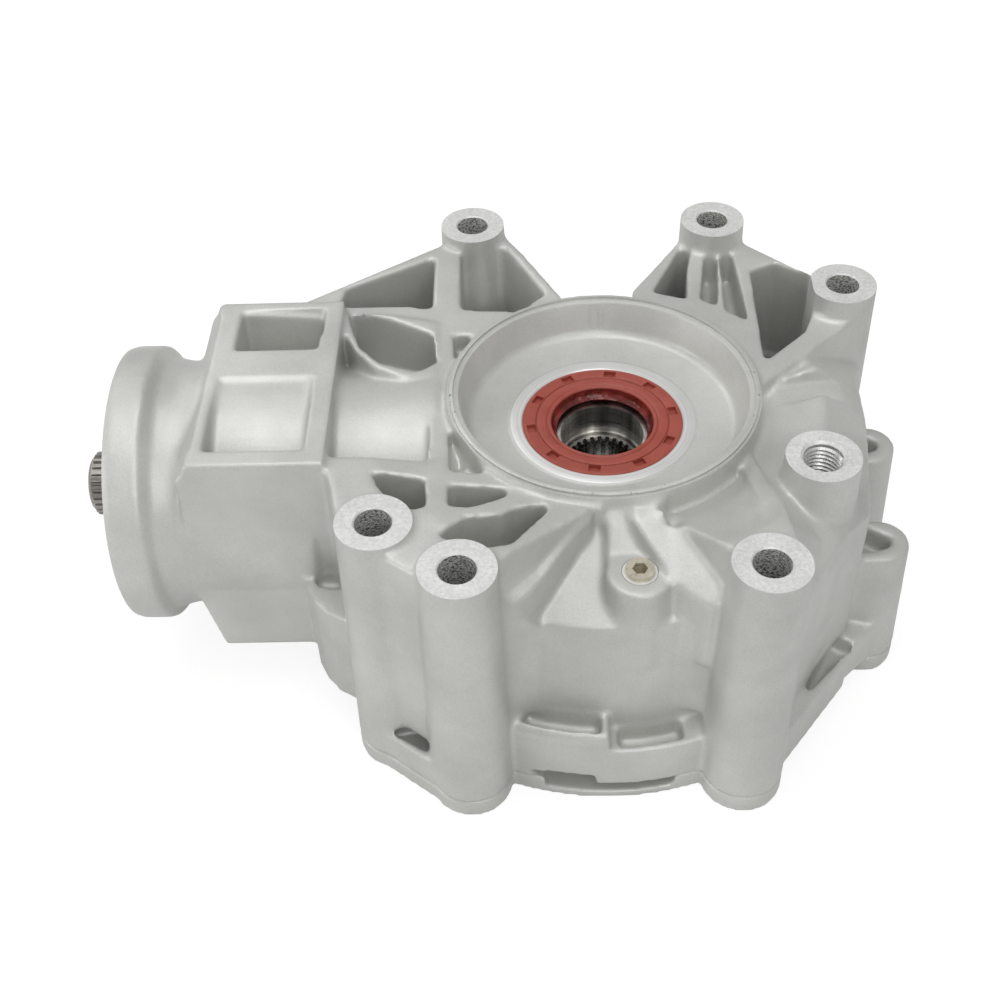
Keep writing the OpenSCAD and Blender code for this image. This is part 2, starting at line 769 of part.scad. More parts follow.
module side_cover() {
    color([0.70, 0.71, 0.69])
        difference() {
            union() {
                linear_extrude(cover_t) cover_outline();
                cylinder(r = cavity_r - run, h = cover_t + spigot_h);
                cylinder(r = ball_outer + bearing_wall, h = lower_bearing_z + ball_width);
            }
            // Dish inside the spigot
            difference() {
                translate([0, 0, cover_t]) cylinder(r = cavity_r - 8, h = 40);
                translate([0, 0, cover_t - over])
                    cylinder(r = ball_outer + bearing_wall, h = 42);
                for (i = [0:5])
                    rotate(i * 60)
                        translate([30, -2, cover_t - over])
                            cube([60, 4, 6]);
            }
            // Groove for the sealing ring
            ring(cavity_r - 3, cavity_r + over, cover_t + 1.5, cover_t + 4.5);
            translate([0, 0, lower_bearing_z]) cylinder(r = ball_outer, h = 40);
            cylinder(r = seal_r - 3, h = 20);
            translate([0, 0, -over]) cylinder(r = pilot_r, h = lower_seal_face + over);
            translate([0, 0, 0]) cylinder(r = seal_r, h = lower_seal_face + seal_t);
            for (p = through_bosses)
                at(p, -over) cylinder(d = mount_hole_d, h = cover_t + 2 * over);
            for (p = cover_bolt_at) {
                at(p, -over) cylinder(r = cover_screw_r + 0.9, h = cover_t + 2 * over);
                at(p, -over) cylinder(r = cover_head_r + 0.5, h = over + cover_head_h + cover_head_sink);
            }
            for (p = dowel_at) at(p, dowel_low - 0.2) cylinder(r = dowel_r, h = dowel_l);
            // Lower part of the window at the joint
            translate([-window_w / 2 + 2.5, -skirt_r - over, cover_t - window_low])
                cube([window_w - 6, window_deep + over, window_low + over]);
            at(drain_plug_at, -over) cylinder(r = plug_r, h = 30);
            at(drain_plug_at, -over) cylinder(r = plug_r + 4, h = over + 2);
        }
}

module cover_o_ring() {
    color([0.12, 0.12, 0.12])
        translate([0, 0, cover_t + 3])
            rotate_extrude() translate([cavity_r - 1.6, 0]) circle(r = 1.4, $fn = 32);
}

// Socket-head screws, heads down in the cover
module cap_screw(r, head_r, head_h, length, key) {
    difference() {
        union() {
            cylinder(r = head_r, h = head_h);
            translate([0, 0, head_h - 0.5]) cylinder(r = r, h = length + 0.5);
        }
        translate([0, 0, -over]) cylinder(r = key, h = head_h * 0.6 + over, $fn = 6);
    }
}

module cover_bolts() {
    color([0.35, 0.35, 0.37])
        for (p = cover_bolt_at)
            at(p, cover_head_sink)
                cap_screw(cover_screw_r - run, cover_head_r, cover_head_h, cover_screw_l, cover_screw_r - 0.4);
}

module dowel_pins() {
    color([0.6, 0.6, 0.6])
        for (p = dowel_at)
            at(p, dowel_low) cylinder(r = dowel_r - run / 5, h = dowel_l);
}

// Rubber-covered lip seal, made as a turned section. The lip points down, to the oil.
// The section is drawn in eighths of the seal's thickness.
module lip_seal(outer, lip, t) {
    u = t / 8;
    rotate_extrude()
        polygon([
            [outer, 0], [outer, 7.4 * u], [outer - 0.6 * u, t], [outer - 4 * u, t],
            [outer - 4.4 * u, 7.5 * u], [lip + 5.5 * u, 7.5 * u], [lip + 4.5 * u, 6.8 * u],
            [lip + 1.4 * u, 6.8 * u], [lip + 0.4 * u, 7.6 * u], [lip + 0.2 * u, 6.8 * u],
            [lip + 1.2 * u, 5.8 * u], [lip, 3.4 * u], [lip + u, 2 * u], [lip + 2 * u, 1.8 * u],
            [lip + 2.3 * u, 2.3 * u], [lip + 1.9 * u, 3.05 * u], [lip + 2.3 * u, 3.8 * u],
            [lip + 3 * u, 4.6 * u], [outer - 3 * u, 4.8 * u], [outer - 3 * u, 0]
        ]);
}

module seal_spring(lip, t) {
    u = t / 8;
    translate([0, 0, 3.05 * u])
        rotate_extrude() translate([lip + 2.75 * u, 0]) circle(r = 0.6 * u, $fn = 24);
}

module upper_axle_seal() {
    color([0.69, 0.31, 0.26]) translate([0, 0, seal_bore_z]) lip_seal(seal_r, seal_lip_r, seal_t);
}

module upper_seal_spring() {
    color([0.6, 0.6, 0.6]) translate([0, 0, seal_bore_z]) seal_spring(seal_lip_r, seal_t);
}

module lower_axle_seal() {
    color([0.69, 0.31, 0.26])
        translate([0, 0, lower_seal_face + seal_t])
            mirror([0, 0, 1])
                lip_seal(seal_r, seal_lip_r, seal_t);
}

module lower_seal_spring() {
    color([0.6, 0.6, 0.6])
        translate([0, 0, lower_seal_face + seal_t])
            mirror([0, 0, 1])
                seal_spring(seal_lip_r, seal_t);
}

module level_plug() {
    color([0.75, 0.73, 0.66])
        at(level_plug_at, level_plug_z)
            difference() {
                union() {
                    cylinder(r = plug_r, h = 1.6);
                    translate([0, 0, -14]) cylinder(r = plug_r - 1 - run / 5, h = 14.5);
                }
                translate([0, 0, -4]) cylinder(r = 2.7, h = 8, $fn = 6);
            }
}

module level_plug_washer() {
    color([0.72, 0.72, 0.70])
        at(level_plug_at)
            ring(plug_r - 0.8, plug_r + 1, level_plug_z - 1, level_plug_z);
}

module drain_plug() {
    color([0.75, 0.73, 0.66])
        at(drain_plug_at)
            difference() {
                union() {
                    translate([0, 0, 0.2]) cylinder(r = plug_r + 2.4, h = 1.3);
                    translate([0, 0, 1]) cylinder(r = plug_r - run / 5, h = 12);
                }
                translate([0, 0, -over]) cylinder(r = 3, h = 6, $fn = 6);
            }
}

module drain_plug_washer() {
    color([0.72, 0.45, 0.25]) at(drain_plug_at) ring(plug_r + 0.2, plug_r + 2.6, 1.5, 2);
}

// Pinion, made along +Z from the cone apex
module pinion_shaft() {
    add = 1.2;
    ded = 0.75;
    outer = root_point(drive_cone + tooth_land, pinion_delta, drive_cone, drive_module, ded);
    inner = root_point(drive_inner - tooth_land, pinion_delta, drive_cone, drive_module, ded);
    spline_end = nose_x + spline_out;
    color([0.55, 0.53, 0.50])
        along_pinion() {
            rotate_extrude()
                polygon([
                    [0, inner[1]], [inner[0] - 1, inner[1]], [inner[0], inner[1] + 1],
                    outer, [outer[0], outer[1] + 2], [head_bore + 5, head_x - shim_t],
                    [head_bore, head_x - shim_t], [head_bore, head_x + head_width + 4],
                    [head_bore - 1, head_x + head_width + 5], [head_bore - 1, spacer_end - 14],
                    [tail_bore, spacer_end - 12], [tail_bore, nut_x + nut_w + 1],
                    [pinion_seal_lip - 0.05, nut_x + nut_w + 2],
                    [pinion_seal_lip - 0.05, pinion_seal_x + pinion_seal_t + 2],
                    [spline_r - 1, pinion_seal_x + pinion_seal_t + 4], [spline_r - 1, spline_end - 1],
                    [spline_r - 2, spline_end], [0, spline_end]
                ]);
            for (i = [0:pinion_teeth - 1])
                rotate(180 + i * 360 / pinion_teeth)
                    bevel_tooth(drive_cone, drive_inner, pinion_delta, drive_module, pinion_teeth,
                        add, ded, 0.35, 20, 4, 6, -1);
            outer_spline(spline_r - 1, spline_r, pinion_seal_x + pinion_seal_t + 6,
                spline_end - 1.5, 26);
        }
}

// Ring gear, its teeth up
module ring_gear() {
    add = 0.55;
    ded = 1.4;
    outer = root_point(drive_cone + tooth_land, ring_delta, drive_cone, drive_module, ded);
    inner = root_point(drive_inner - tooth_land, ring_delta, drive_cone, drive_module, ded);
    back = pinion_z - case_low - case_flange_t;
    color([0.50, 0.49, 0.47])
        difference() {
            translate([0, 0, pinion_z])
                rotate([180, 0, 0]) {
                    rotate_extrude()
                        polygon([
                            [case_r + run, back], [case_r + run, inner[1] + 1.5], inner, outer,
                            [outer[0] + 0.8, outer[1] + 2], [outer[0] + 0.8, back - 1],
                            [outer[0] - 0.2, back]
                        ]);
                    for (i = [0:ring_teeth - 1])
                        rotate(180 + (i + 0.5) * 360 / ring_teeth)
                            bevel_tooth(drive_cone, drive_inner, ring_delta, drive_module, ring_teeth,
                                add, ded, -0.35, 20, 2, 4, 1);
                }
            for (i = [0:gear_bolts - 1])
                at(polar(gear_bolt_r, i * 360 / gear_bolts), 0)
                    cylinder(r = gear_screw_r, h = case_low + case_flange_t + gear_screw_l);
        }
}

module ring_gear_bolts() {
    color([0.30, 0.30, 0.32])
        for (i = [0:gear_bolts - 1])
            at(polar(gear_bolt_r, i * 360 / gear_bolts), case_low - gear_head_h)
                difference() {
                    union() {
                        cylinder(r = gear_head_r, h = gear_head_h, $fn = 6);
                        translate([0, 0, gear_head_h / 2])
                            cylinder(r = gear_screw_r - run / 5, h = gear_head_h / 2 + case_flange_t + gear_screw_l - 1);
                    }
                    translate([0, 0, -over]) cylinder(r = gear_screw_r, h = over + 0.8);
                }
}

// One-piece differential case with two windows
module differential_case() {
    hub = hub_r + run;
    color([0.42, 0.43, 0.44])
        difference() {
            union() {
                rotate_extrude()
                    polygon([
                        [0, trunnion_low], [ball_bore - 1.2, trunnion_low], [ball_bore, lower_bearing_z],
                        [ball_bore, case_low], [ball_bore + 7, case_low], [case_flange_r, case_low],
                        [case_flange_r, case_low + case_flange_t], [case_r, case_low + case_flange_t],
                        [case_r, case_high - 13], [case_r - 3, case_high - 9],
                        [ball_bore + 8, case_high - 1], [ball_bore + 4, case_high],
                        [ball_bore, case_high], [ball_bore, upper_bearing_top],
                        [ball_bore - 1.2, trunnion_top], [0, trunnion_top]
                    ]);
            }
            translate([0, 0, trunnion_low - over])
                cylinder(r = hub, h = trunnion_top - trunnion_low + 2 * over);
            // Counterbores that take the stub shafts
            translate([0, 0, case_z + hub_end + 0.5]) cylinder(r = hub_r + 0.6, h = 40);
            translate([0, 0, case_z - hub_end - 0.5 - 40]) cylinder(r = hub_r + 0.6, h = 40);
            translate([0, 0, case_z]) sphere(r = case_ball_r);
            translate([0, 0, case_z - side_back - washer_t - 2 * run])
                cylinder(r = side_pitch_r + 3, h = 2 * (side_back + washer_t + 2 * run));
            // Windows for fitting the gears
            for (s = [-1, 1])
                translate([-window_half, s > 0 ? window_in : -window_in - case_r, case_z - window_half + 5])
                    cube([2 * window_half, case_r, 2 * window_half - 8]);
            // Cross pin and its lock
            translate([-case_r - over, 0, case_z])
                rotate([0, 90, 0])
                    cylinder(r = pin_r, h = 2 * case_r + 2 * over);
            translate([lock_x, 0, case_z - 18]) cylinder(r = lock_r, h = 60);
            for (i = [0:gear_bolts - 1])
                at(polar(gear_bolt_r, i * 360 / gear_bolts), 0) cylinder(r = gear_screw_r + 0.2, h = 60);
        }
}

module cross_pin() {
    color([0.62, 0.62, 0.62])
        difference() {
            translate([-case_r + 1, 0, case_z])
                rotate([0, 90, 0])
                    cylinder(r = pin_r - run / 2, h = 2 * case_r - 2);
            translate([lock_x, 0, case_z - 18]) cylinder(r = lock_r, h = 60);
        }
}

module cross_pin_lock() {
    color([0.55, 0.55, 0.55])
        translate([lock_x, 0, case_z - 17.5])
            ring(lock_r / 2, lock_r - run / 5, 0, 35);
}

// Spider gear, made along +Z from the case's centre
module spider_body() {
    add = 1.05;
    ded = 0.85;
    inner = root_point(side_inner - tooth_land, spider_delta, side_cone, side_module, ded);
    outer = root_point(side_cone + tooth_land / 2, spider_delta, side_cone, side_module, ded);
    difference() {
        intersection() {
            union() {
                rotate_extrude()
                    polygon([
                        [0, inner[1]], [inner[0], inner[1]], outer, [outer[0] + 1.2, outer[1] + 1.5],
                        [outer[0] + 1.2, 30], [0, 30]
                    ]);
                for (i = [0:spider_teeth - 1])
                    rotate(i * 360 / spider_teeth)
                        bevel_tooth(side_cone, side_inner, spider_delta, side_module, spider_teeth,
                            add, ded, 0.25, 22.5, 3, 1, 0);
            }
            sphere(r = case_ball_r - washer_t - 2 * run);
        }
        cylinder(r = pin_r + run / 2, h = 60);
    }
}

module spider_gear_a() {
    color([0.58, 0.56, 0.52]) translate([0, 0, case_z]) rotate([0, 90, 0]) spider_body();
}

module spider_gear_b() {
    color([0.58, 0.56, 0.52]) translate([0, 0, case_z]) rotate([0, -90, 0]) spider_body();
}

// Dished washer behind a spider gear
module spider_washer() {
    difference() {
        intersection() {
            sphere(r = case_ball_r - run);
            translate([0, 0, 10]) cylinder(r = 12.5, h = 30);
        }
        sphere(r = case_ball_r - washer_t - run);
        cylinder(r = pin_r + run, h = 60);
    }
}

module spider_washer_a() {
    color([0.70, 0.58, 0.36]) translate([0, 0, case_z]) rotate([0, 90, 0]) spider_washer();
}

module spider_washer_b() {
    color([0.70, 0.58, 0.36]) translate([0, 0, case_z]) rotate([0, -90, 0]) spider_washer();
}

// Side gear, made along +Z from the case's centre, with a splined bore
module side_body() {
    add = 0.65;
    ded = 1.25;
    inner = root_point(side_inner - tooth_land, side_delta, side_cone, side_module, ded);
    outer = root_point(side_cone + tooth_land / 2, side_delta, side_cone, side_module, ded);
    spline_root = 13;
    difference() {
        union() {
            rotate_extrude()
                polygon([
                    [0, inner[1]], inner, outer, [outer[0] + 0.8, outer[1] + 1.5],
                    [outer[0] + 0.8, side_back - 1], [outer[0] - 0.2, side_back],
                    [hub_r - 0.02, side_back], [hub_r - 0.02, hub_end - 1], [hub_r - 1, hub_end],
                    [0, hub_end]
                ]);
            for (i = [0:side_teeth - 1])
                rotate((i + 0.5) * 360 / side_teeth)
                    bevel_tooth(side_cone, side_inner, side_delta, side_module, side_teeth,
                        add, ded, -0.25, 22.5, 3, 1, 0);
        }
        linear_extrude(2 * hub_end)
            difference() {
                circle(r = spline_root);
                for (i = [0:25])
                    rotate(i * 360 / 26)
                        polygon([
                            [spline_root + 1, -1.15], [spline_root + 1, 1.15],
                            [spline_root - 1.2, 0.55], [spline_root - 1.2, -0.55]
                        ]);
            }
        translate([0, 0, hub_end - 1]) cylinder(r1 = spline_root - 1.2, r2 = spline_root, h = 1 + over);
    }
}

module side_gear_upper() {
    color([0.60, 0.58, 0.54]) translate([0, 0, case_z]) side_body();
}

module side_gear_lower() {
    color([0.60, 0.58, 0.54]) translate([0, 0, case_z]) mirror([0, 0, 1]) side_body();
}

module thrust_washer_upper() {
    color([0.70, 0.58, 0.36])
        translate([0, 0, case_z])
            ring(hub_r + 0.1, side_pitch_r + 2, side_back + run, side_back + run + washer_t);
}

module thrust_washer_lower() {
    color([0.70, 0.58, 0.36])
        translate([0, 0, case_z])
            mirror([0, 0, 1])
                ring(hub_r + 0.1, side_pitch_r + 2, side_back + run, side_back + run + washer_t);
}

// Ball bearing, made from z = 0 up
ball_mid = (ball_bore + ball_outer) / 2;
ball_r = 4;

module ball_outer_race() {
    difference() {
        ring(ball_mid + 2.4, ball_outer, 0, ball_width);
        translate([0, 0, ball_width / 2])
            rotate_extrude() translate([ball_mid, 0]) circle(r = ball_r + run);
    }
}

module ball_inner_race() {
    difference() {
        ring(ball_bore, ball_mid - 2.4, 0, ball_width);
        translate([0, 0, ball_width / 2])
            rotate_extrude() translate([ball_mid, 0]) circle(r = ball_r + run);
    }
}

module ball_set() {
    translate([0, 0, ball_width / 2]) {
        for (i = [0:ball_count - 1])
            rotate(i * 360 / ball_count)
                translate([ball_mid, 0, 0])
                    sphere(r = ball_r);
        difference() {
            ring(ball_mid - 1.6, ball_mid + 1.6, -2.6, 2.6);
            for (i = [0:ball_count - 1])
                rotate(i * 360 / ball_count)
                    translate([ball_mid, 0, 0])
                        sphere(r = ball_r + 2 * run);
        }
    }
}

module upper_bearing_outer() {
    color([0.66, 0.67, 0.68]) translate([0, 0, upper_bearing_z]) ball_outer_race();
}

module upper_bearing_inner() {
    color([0.66, 0.67, 0.68]) translate([0, 0, upper_bearing_z]) ball_inner_race();
}

module upper_bearing_balls() {
    color([0.80, 0.80, 0.80]) translate([0, 0, upper_bearing_z]) ball_set();
}

module lower_bearing_outer() {
    color([0.66, 0.67, 0.68]) translate([0, 0, lower_bearing_z]) ball_outer_race();
}

module lower_bearing_inner() {
    color([0.66, 0.67, 0.68]) translate([0, 0, lower_bearing_z]) ball_inner_race();
}

module lower_bearing_balls() {
    color([0.80, 0.80, 0.80]) translate([0, 0, lower_bearing_z]) ball_set();
}

module upper_shim() {
    color([0.7, 0.7, 0.7]) ring(ball_bore + 0.2, ball_bore + 4, case_high, upper_bearing_z);
}

module lower_shim() {
    color([0.7, 0.7, 0.7]) ring(ball_bore + 0.2, ball_bore + 4, case_low - shim_t, case_low);
}

// Tapered roller bearing, made from z = 0 up, its large roller ends at the bottom
taper = 13;
race_lift = 0.3;
cage_in = 0.3;
cage_out = 1.5;
cage_end = 2;

function roller_r(bore, outer) = (outer - bore) * 0.19;

module roller_at(bore, outer, width, grow) {
    r = roller_r(bore, outer);
    mid = (bore + outer) / 2 + race_lift;
    length = width * 0.72;
    translate([mid, 0, width / 2])
        rotate([0, -taper, 0])
            translate([0, 0, -length / 2 - grow])
                cylinder(r1 = r * 1.08 + grow, r2 = r * 0.92 + grow, h = length + 2 * grow);
}

// Line of the raceway at height z, for a roller flank moved out by side * its radius
function race_r(bore, outer, width, z, side, gap) =
    let (
        r = roller_r(bore, outer),
        length = width * 0.72,
        spread = atan(0.16 * r / length),
        lean = taper + side * spread,
        mid = (bore + outer) / 2 + race_lift
    )
    mid + side * (r + gap) / cos(lean) - (z - width / 2) * tan(lean);

module taper_cup(bore, outer, width) {
    rotate_extrude()
        polygon([
            [race_r(bore, outer, width, 0, 1, run), 0], [outer, 0], [outer, width * 0.86],
            [race_r(bore, outer, width, width * 0.86, 1, run), width * 0.86]
        ]);
}

module taper_cone(bore, outer, width) {
    rib_h = width * 0.1;
    low = width * 0.12;
    high = width * 0.88;
    rotate_extrude()
        polygon([
            [bore, 0], [race_r(bore, outer, width, rib_h, -1, run) + 1.8, 0],
            [race_r(bore, outer, width, rib_h, -1, run) + 1.8, rib_h - 0.6],
            [race_r(bore, outer, width, rib_h, -1, run), rib_h],
            [race_r(bore, outer, width, high, -1, run), high],
            [race_r(bore, outer, width, high, -1, run), width], [bore, width]
        ]);
}

module taper_rollers(bore, outer, width) {
    mid = (bore + outer) / 2 + race_lift;
    for (i = [0:roller_count - 1])
        rotate(i * 360 / roller_count)
            roller_at(bore, outer, width, 0);
    // Cage between the rollers
    difference() {
        rotate_extrude()
            polygon([
                [mid + cage_in - (cage_end - width / 2) * tan(taper), cage_end],
                [mid + cage_out - (cage_end - width / 2) * tan(taper), cage_end],
                [mid + cage_out - (width / 2 - cage_end) * tan(taper), width - cage_end],
                [mid + cage_in - (width / 2 - cage_end) * tan(taper), width - cage_end]
            ]);
        for (i = [0:roller_count - 1])
            rotate(i * 360 / roller_count)
                roller_at(bore, outer, width, 2 * run);
    }
}

module pinion_inner_cup() {
    color([0.66, 0.67, 0.68])
        along_pinion()
            translate([0, 0, head_x])
                taper_cup(head_bore, head_outer, head_width);
}

module pinion_inner_cone() {
    color([0.66, 0.67, 0.68])
        along_pinion()
            translate([0, 0, head_x])
                taper_cone(head_bore, head_outer, head_width);
}

module pinion_inner_rollers() {
    color([0.80, 0.80, 0.80])
        along_pinion()
            translate([0, 0, head_x])
                taper_rollers(head_bore, head_outer, head_width);
}

module pinion_outer_cup() {
    color([0.66, 0.67, 0.68])
        along_pinion()
            translate([0, 0, tail_x + tail_width])
                mirror([0, 0, 1])
                    taper_cup(tail_bore, tail_outer, tail_width);
}

module pinion_outer_cone() {
    color([0.66, 0.67, 0.68])
        along_pinion()
            translate([0, 0, tail_x + tail_width])
                mirror([0, 0, 1])
                    taper_cone(tail_bore, tail_outer, tail_width);
}

module pinion_outer_rollers() {
    color([0.80, 0.80, 0.80])
        along_pinion()
            translate([0, 0, tail_x + tail_width])
                mirror([0, 0, 1])
                    taper_rollers(tail_bore, tail_outer, tail_width);
}

module pinion_shim() {
    color([0.7, 0.7, 0.7])
        along_pinion() ring(head_bore + 0.1, head_bore + 4.5, head_x - shim_t, head_x);
}

module pinion_spacer() {
    low = head_x + head_width;
    color([0.5, 0.5, 0.52])
        along_pinion()
            rotate_extrude()
                polygon([
                    [head_bore + 0.1, low], [head_bore + 2, low], [head_bore + 2.4, low + 6],
                    [head_bore + 3.8, low + 11], [head_bore + 2.4, low + 16],
                    [head_bore + 2.4, spacer_end], [tail_bore + 0.1, spacer_end],
                    [tail_bore + 0.1, spacer_end - 2], [head_bore + 0.1, spacer_end - 3]
                ]);
}

module pinion_lock_nut() {
    color([0.4, 0.4, 0.42])
        along_pinion()
            difference() {
                ring(tail_bore, tail_bore + 8, nut_x, nut_x + nut_w);
                for (i = [0:3])
                    rotate(i * 90)
                        translate([tail_bore + 5, -2.5, nut_x + 2])
                            cube([10, 5, nut_w]);
            }
}

module pinion_seal() {
    color([0.69, 0.31, 0.26])
        along_pinion()
            translate([0, 0, pinion_seal_x])
                lip_seal(pinion_seal_r, pinion_seal_lip, pinion_seal_t);
}

module pinion_seal_spring() {
    color([0.6, 0.6, 0.6])
        along_pinion()
            translate([0, 0, pinion_seal_x])
                seal_spring(pinion_seal_lip, pinion_seal_t);
}

main_housing();
side_cover();
cover_o_ring();
cover_bolts();
dowel_pins();
upper_axle_seal();
upper_seal_spring();
lower_axle_seal();
lower_seal_spring();
level_plug();
level_plug_washer();
drain_plug();
drain_plug_washer();
pinion_shaft();
pinion_inner_cup();
pinion_inner_cone();
pinion_inner_rollers();
pinion_outer_cup();
pinion_outer_cone();
pinion_outer_rollers();
pinion_shim();
pinion_spacer();
pinion_lock_nut();
pinion_seal();
pinion_seal_spring();
ring_gear();
ring_gear_bolts();
differential_case();
cross_pin();
cross_pin_lock();
spider_gear_a();
spider_gear_b();
spider_washer_a();
spider_washer_b();
side_gear_upper();
side_gear_lower();
thrust_washer_upper();
thrust_washer_lower();
upper_bearing_outer();
upper_bearing_inner();
upper_bearing_balls();
lower_bearing_outer();
lower_bearing_inner();
lower_bearing_balls();
upper_shim();
lower_shim();
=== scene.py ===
import math
import bpy
import bmesh
from mathutils import Matrix, Vector


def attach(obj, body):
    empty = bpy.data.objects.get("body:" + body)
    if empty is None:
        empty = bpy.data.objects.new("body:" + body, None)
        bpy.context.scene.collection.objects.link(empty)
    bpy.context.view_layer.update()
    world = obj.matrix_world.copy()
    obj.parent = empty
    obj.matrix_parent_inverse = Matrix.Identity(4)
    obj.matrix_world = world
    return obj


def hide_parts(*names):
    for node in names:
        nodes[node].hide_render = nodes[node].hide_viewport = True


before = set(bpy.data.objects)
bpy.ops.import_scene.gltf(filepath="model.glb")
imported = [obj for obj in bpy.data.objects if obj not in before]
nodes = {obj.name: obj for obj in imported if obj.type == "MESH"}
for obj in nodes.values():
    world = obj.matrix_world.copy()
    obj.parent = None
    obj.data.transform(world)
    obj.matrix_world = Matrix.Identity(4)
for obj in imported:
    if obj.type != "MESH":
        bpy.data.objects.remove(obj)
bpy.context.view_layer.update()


# Camera, standing in front of the drive and above it, and looking down at its upper seal.
# Its place and lens come from the ellipses of the boss faces in the photograph.
camera = bpy.data.objects.new("camera", bpy.data.cameras.new("camera"))
bpy.context.scene.collection.objects.link(camera)
camera.data.lens = 49.8368
camera.data.sensor_width = 36
camera.data.clip_start = 0.01
camera_axes = Matrix((
    (0.99956230, 0.02063798, 0.02119581),
    (0.00069133, 0.69998104, -0.71416109),
    (-0.02957550, 0.71386317, 0.69966040),
)).to_4x4()
camera_axes.translation = (-0.027803, -0.389276, 0.436591)
camera.matrix_world = camera_axes
bpy.context.scene.camera = camera
bpy.context.scene.view_settings.view_transform = "Standard"


# Studio: a pale floor under the drive, a soft white sky and four large lamps. The camera
# sees floor and sky as white, with a faint shadow under the casting. The sky gives less
# light from low down and from behind, so that walls stay darker than flats.
drive_middle = Vector((0, 0, 0.05))
for name, place, size, power in (
    ("lamp over the drive", (-0.15, -0.05, 1.30), 0.9, 5),
    ("lamp over the rear left", (-0.75, 0.75, 0.95), 0.8, 2.2),
    ("lamp over the front", (0.25, -0.95, 0.95), 0.9, 4),
    ("lamp at the left", (-1.2, -0.35, 0.35), 0.7, 3),
):
    light = bpy.data.lights.new(name, "AREA")
    light.shape = "DISK"
    light.size = size
    light.energy = power
    holder = bpy.data.objects.new(name, light)
    bpy.context.scene.collection.objects.link(holder)
    holder.location = place
    holder.rotation_euler = (drive_middle - Vector(place)).to_track_quat("-Z", "Y").to_euler()

sky = bpy.data.worlds.new("sky")
bpy.context.scene.world = sky
sky.use_nodes = True
tree = sky.node_tree
for old in list(tree.nodes):
    tree.nodes.remove(old)
out = tree.nodes.new("ShaderNodeOutputWorld")
seen = tree.nodes.new("ShaderNodeBackground")
seen.inputs["Color"].default_value = (1, 1, 1, 1)
seen.inputs["Strength"].default_value = 1
light = tree.nodes.new("ShaderNodeBackground")
light.inputs["Strength"].default_value = 0.57
ramp = tree.nodes.new("ShaderNodeValToRGB")
ramp.color_ramp.elements[0].position = 0.30
ramp.color_ramp.elements[0].color = (0.26, 0.26, 0.26, 1)
ramp.color_ramp.elements[1].position = 0.80
ramp.color_ramp.elements[1].color = (1.0, 1.0, 1.0, 1)
place = tree.nodes.new("ShaderNodeTexCoord")
height = tree.nodes.new("ShaderNodeSeparateXYZ")
half = tree.nodes.new("ShaderNodeMath")
half.operation = "MULTIPLY_ADD"
half.inputs[1].default_value = 0.5
half.inputs[2].default_value = 0.5
ray = tree.nodes.new("ShaderNodeLightPath")
mix = tree.nodes.new("ShaderNodeMixShader")
tree.links.new(place.outputs["Generated"], height.inputs[0])
tree.links.new(height.outputs["Z"], half.inputs[0])
tree.links.new(half.outputs[0], ramp.inputs[0])
side = tree.nodes.new("ShaderNodeMapRange")
side.inputs["From Min"].default_value = -1
side.inputs["From Max"].default_value = 1
side.inputs["To Min"].default_value = 1.02
side.inputs["To Max"].default_value = 0.80
shade = tree.nodes.new("ShaderNodeVectorMath")
shade.operation = "SCALE"
tree.links.new(height.outputs["Y"], side.inputs["Value"])
tree.links.new(ramp.outputs[0], shade.inputs[0])
tree.links.new(side.outputs[0], shade.inputs["Scale"])
tree.links.new(shade.outputs[0], light.inputs["Color"])
tree.links.new(ray.outputs["Is Camera Ray"], mix.inputs[0])
tree.links.new(light.outputs[0], mix.inputs[1])
tree.links.new(seen.outputs[0], mix.inputs[2])
tree.links.new(mix.outputs[0], out.inputs[0])

floor_mesh = bpy.data.meshes.new("studio_floor")
floor_mesh.from_pydata([(-4, -4, 0), (4, -4, 0), (4, 4, 0), (-4, 4, 0)], [], [(0, 1, 2, 3)])
floor = bpy.data.objects.new("studio_floor", floor_mesh)
bpy.context.scene.collection.objects.link(floor)
paper = bpy.data.materials.new("white paper")
paper.use_nodes = True
tree = paper.node_tree
matt = tree.nodes["Principled BSDF"]
matt.inputs["Base Color"].default_value = (0.80, 0.80, 0.80, 1)
matt.inputs["Roughness"].default_value = 0.9
pale = tree.nodes.new("ShaderNodeBsdfDiffuse")
pale.inputs["Color"].default_value = (0.22, 0.22, 0.22, 1)
glow = tree.nodes.new("ShaderNodeEmission")
glow.inputs["Color"].default_value = (1, 1, 1, 1)
glow.inputs["Strength"].default_value = 0.84
both = tree.nodes.new("ShaderNodeAddShader")
ray = tree.nodes.new("ShaderNodeLightPath")
mix = tree.nodes.new("ShaderNodeMixShader")
tree.links.new(pale.outputs[0], both.inputs[0])
tree.links.new(glow.outputs[0], both.inputs[1])
tree.links.new(ray.outputs["Is Camera Ray"], mix.inputs[0])
tree.links.new(matt.outputs[0], mix.inputs[1])
tree.links.new(both.outputs[0], mix.inputs[2])
tree.links.new(mix.outputs[0], tree.nodes["Material Output"].inputs[0])
floor_mesh.materials.append(paper)


# Main casting: die-cast aluminium, blasted to a fine even grain, with soft fillets at every
# rib and pocket. Boss faces, screw holes and bearing seats are cut into it afterwards.
# It carries every shaft of the drive and is screwed to the frame by its bosses.
MM = 0.001
voxel = 0.9 * MM
boss_top = 117
boss_r = 13
rim_top = 111
hole_r = 6.3
bosses = [(-49, 100), (50, 100), (-51, -93.5), (48, -93.5), (95.5, 53), (-79, -72)]
threaded = (72, -45)
plug_at = (8.5, -77)
plug_face = 95
pinion_axis = 69
seal_face = 96
seal_r = 29.8
ring_bore_r = 34
pinion_cup_r = 36
sharp = math.radians(38)


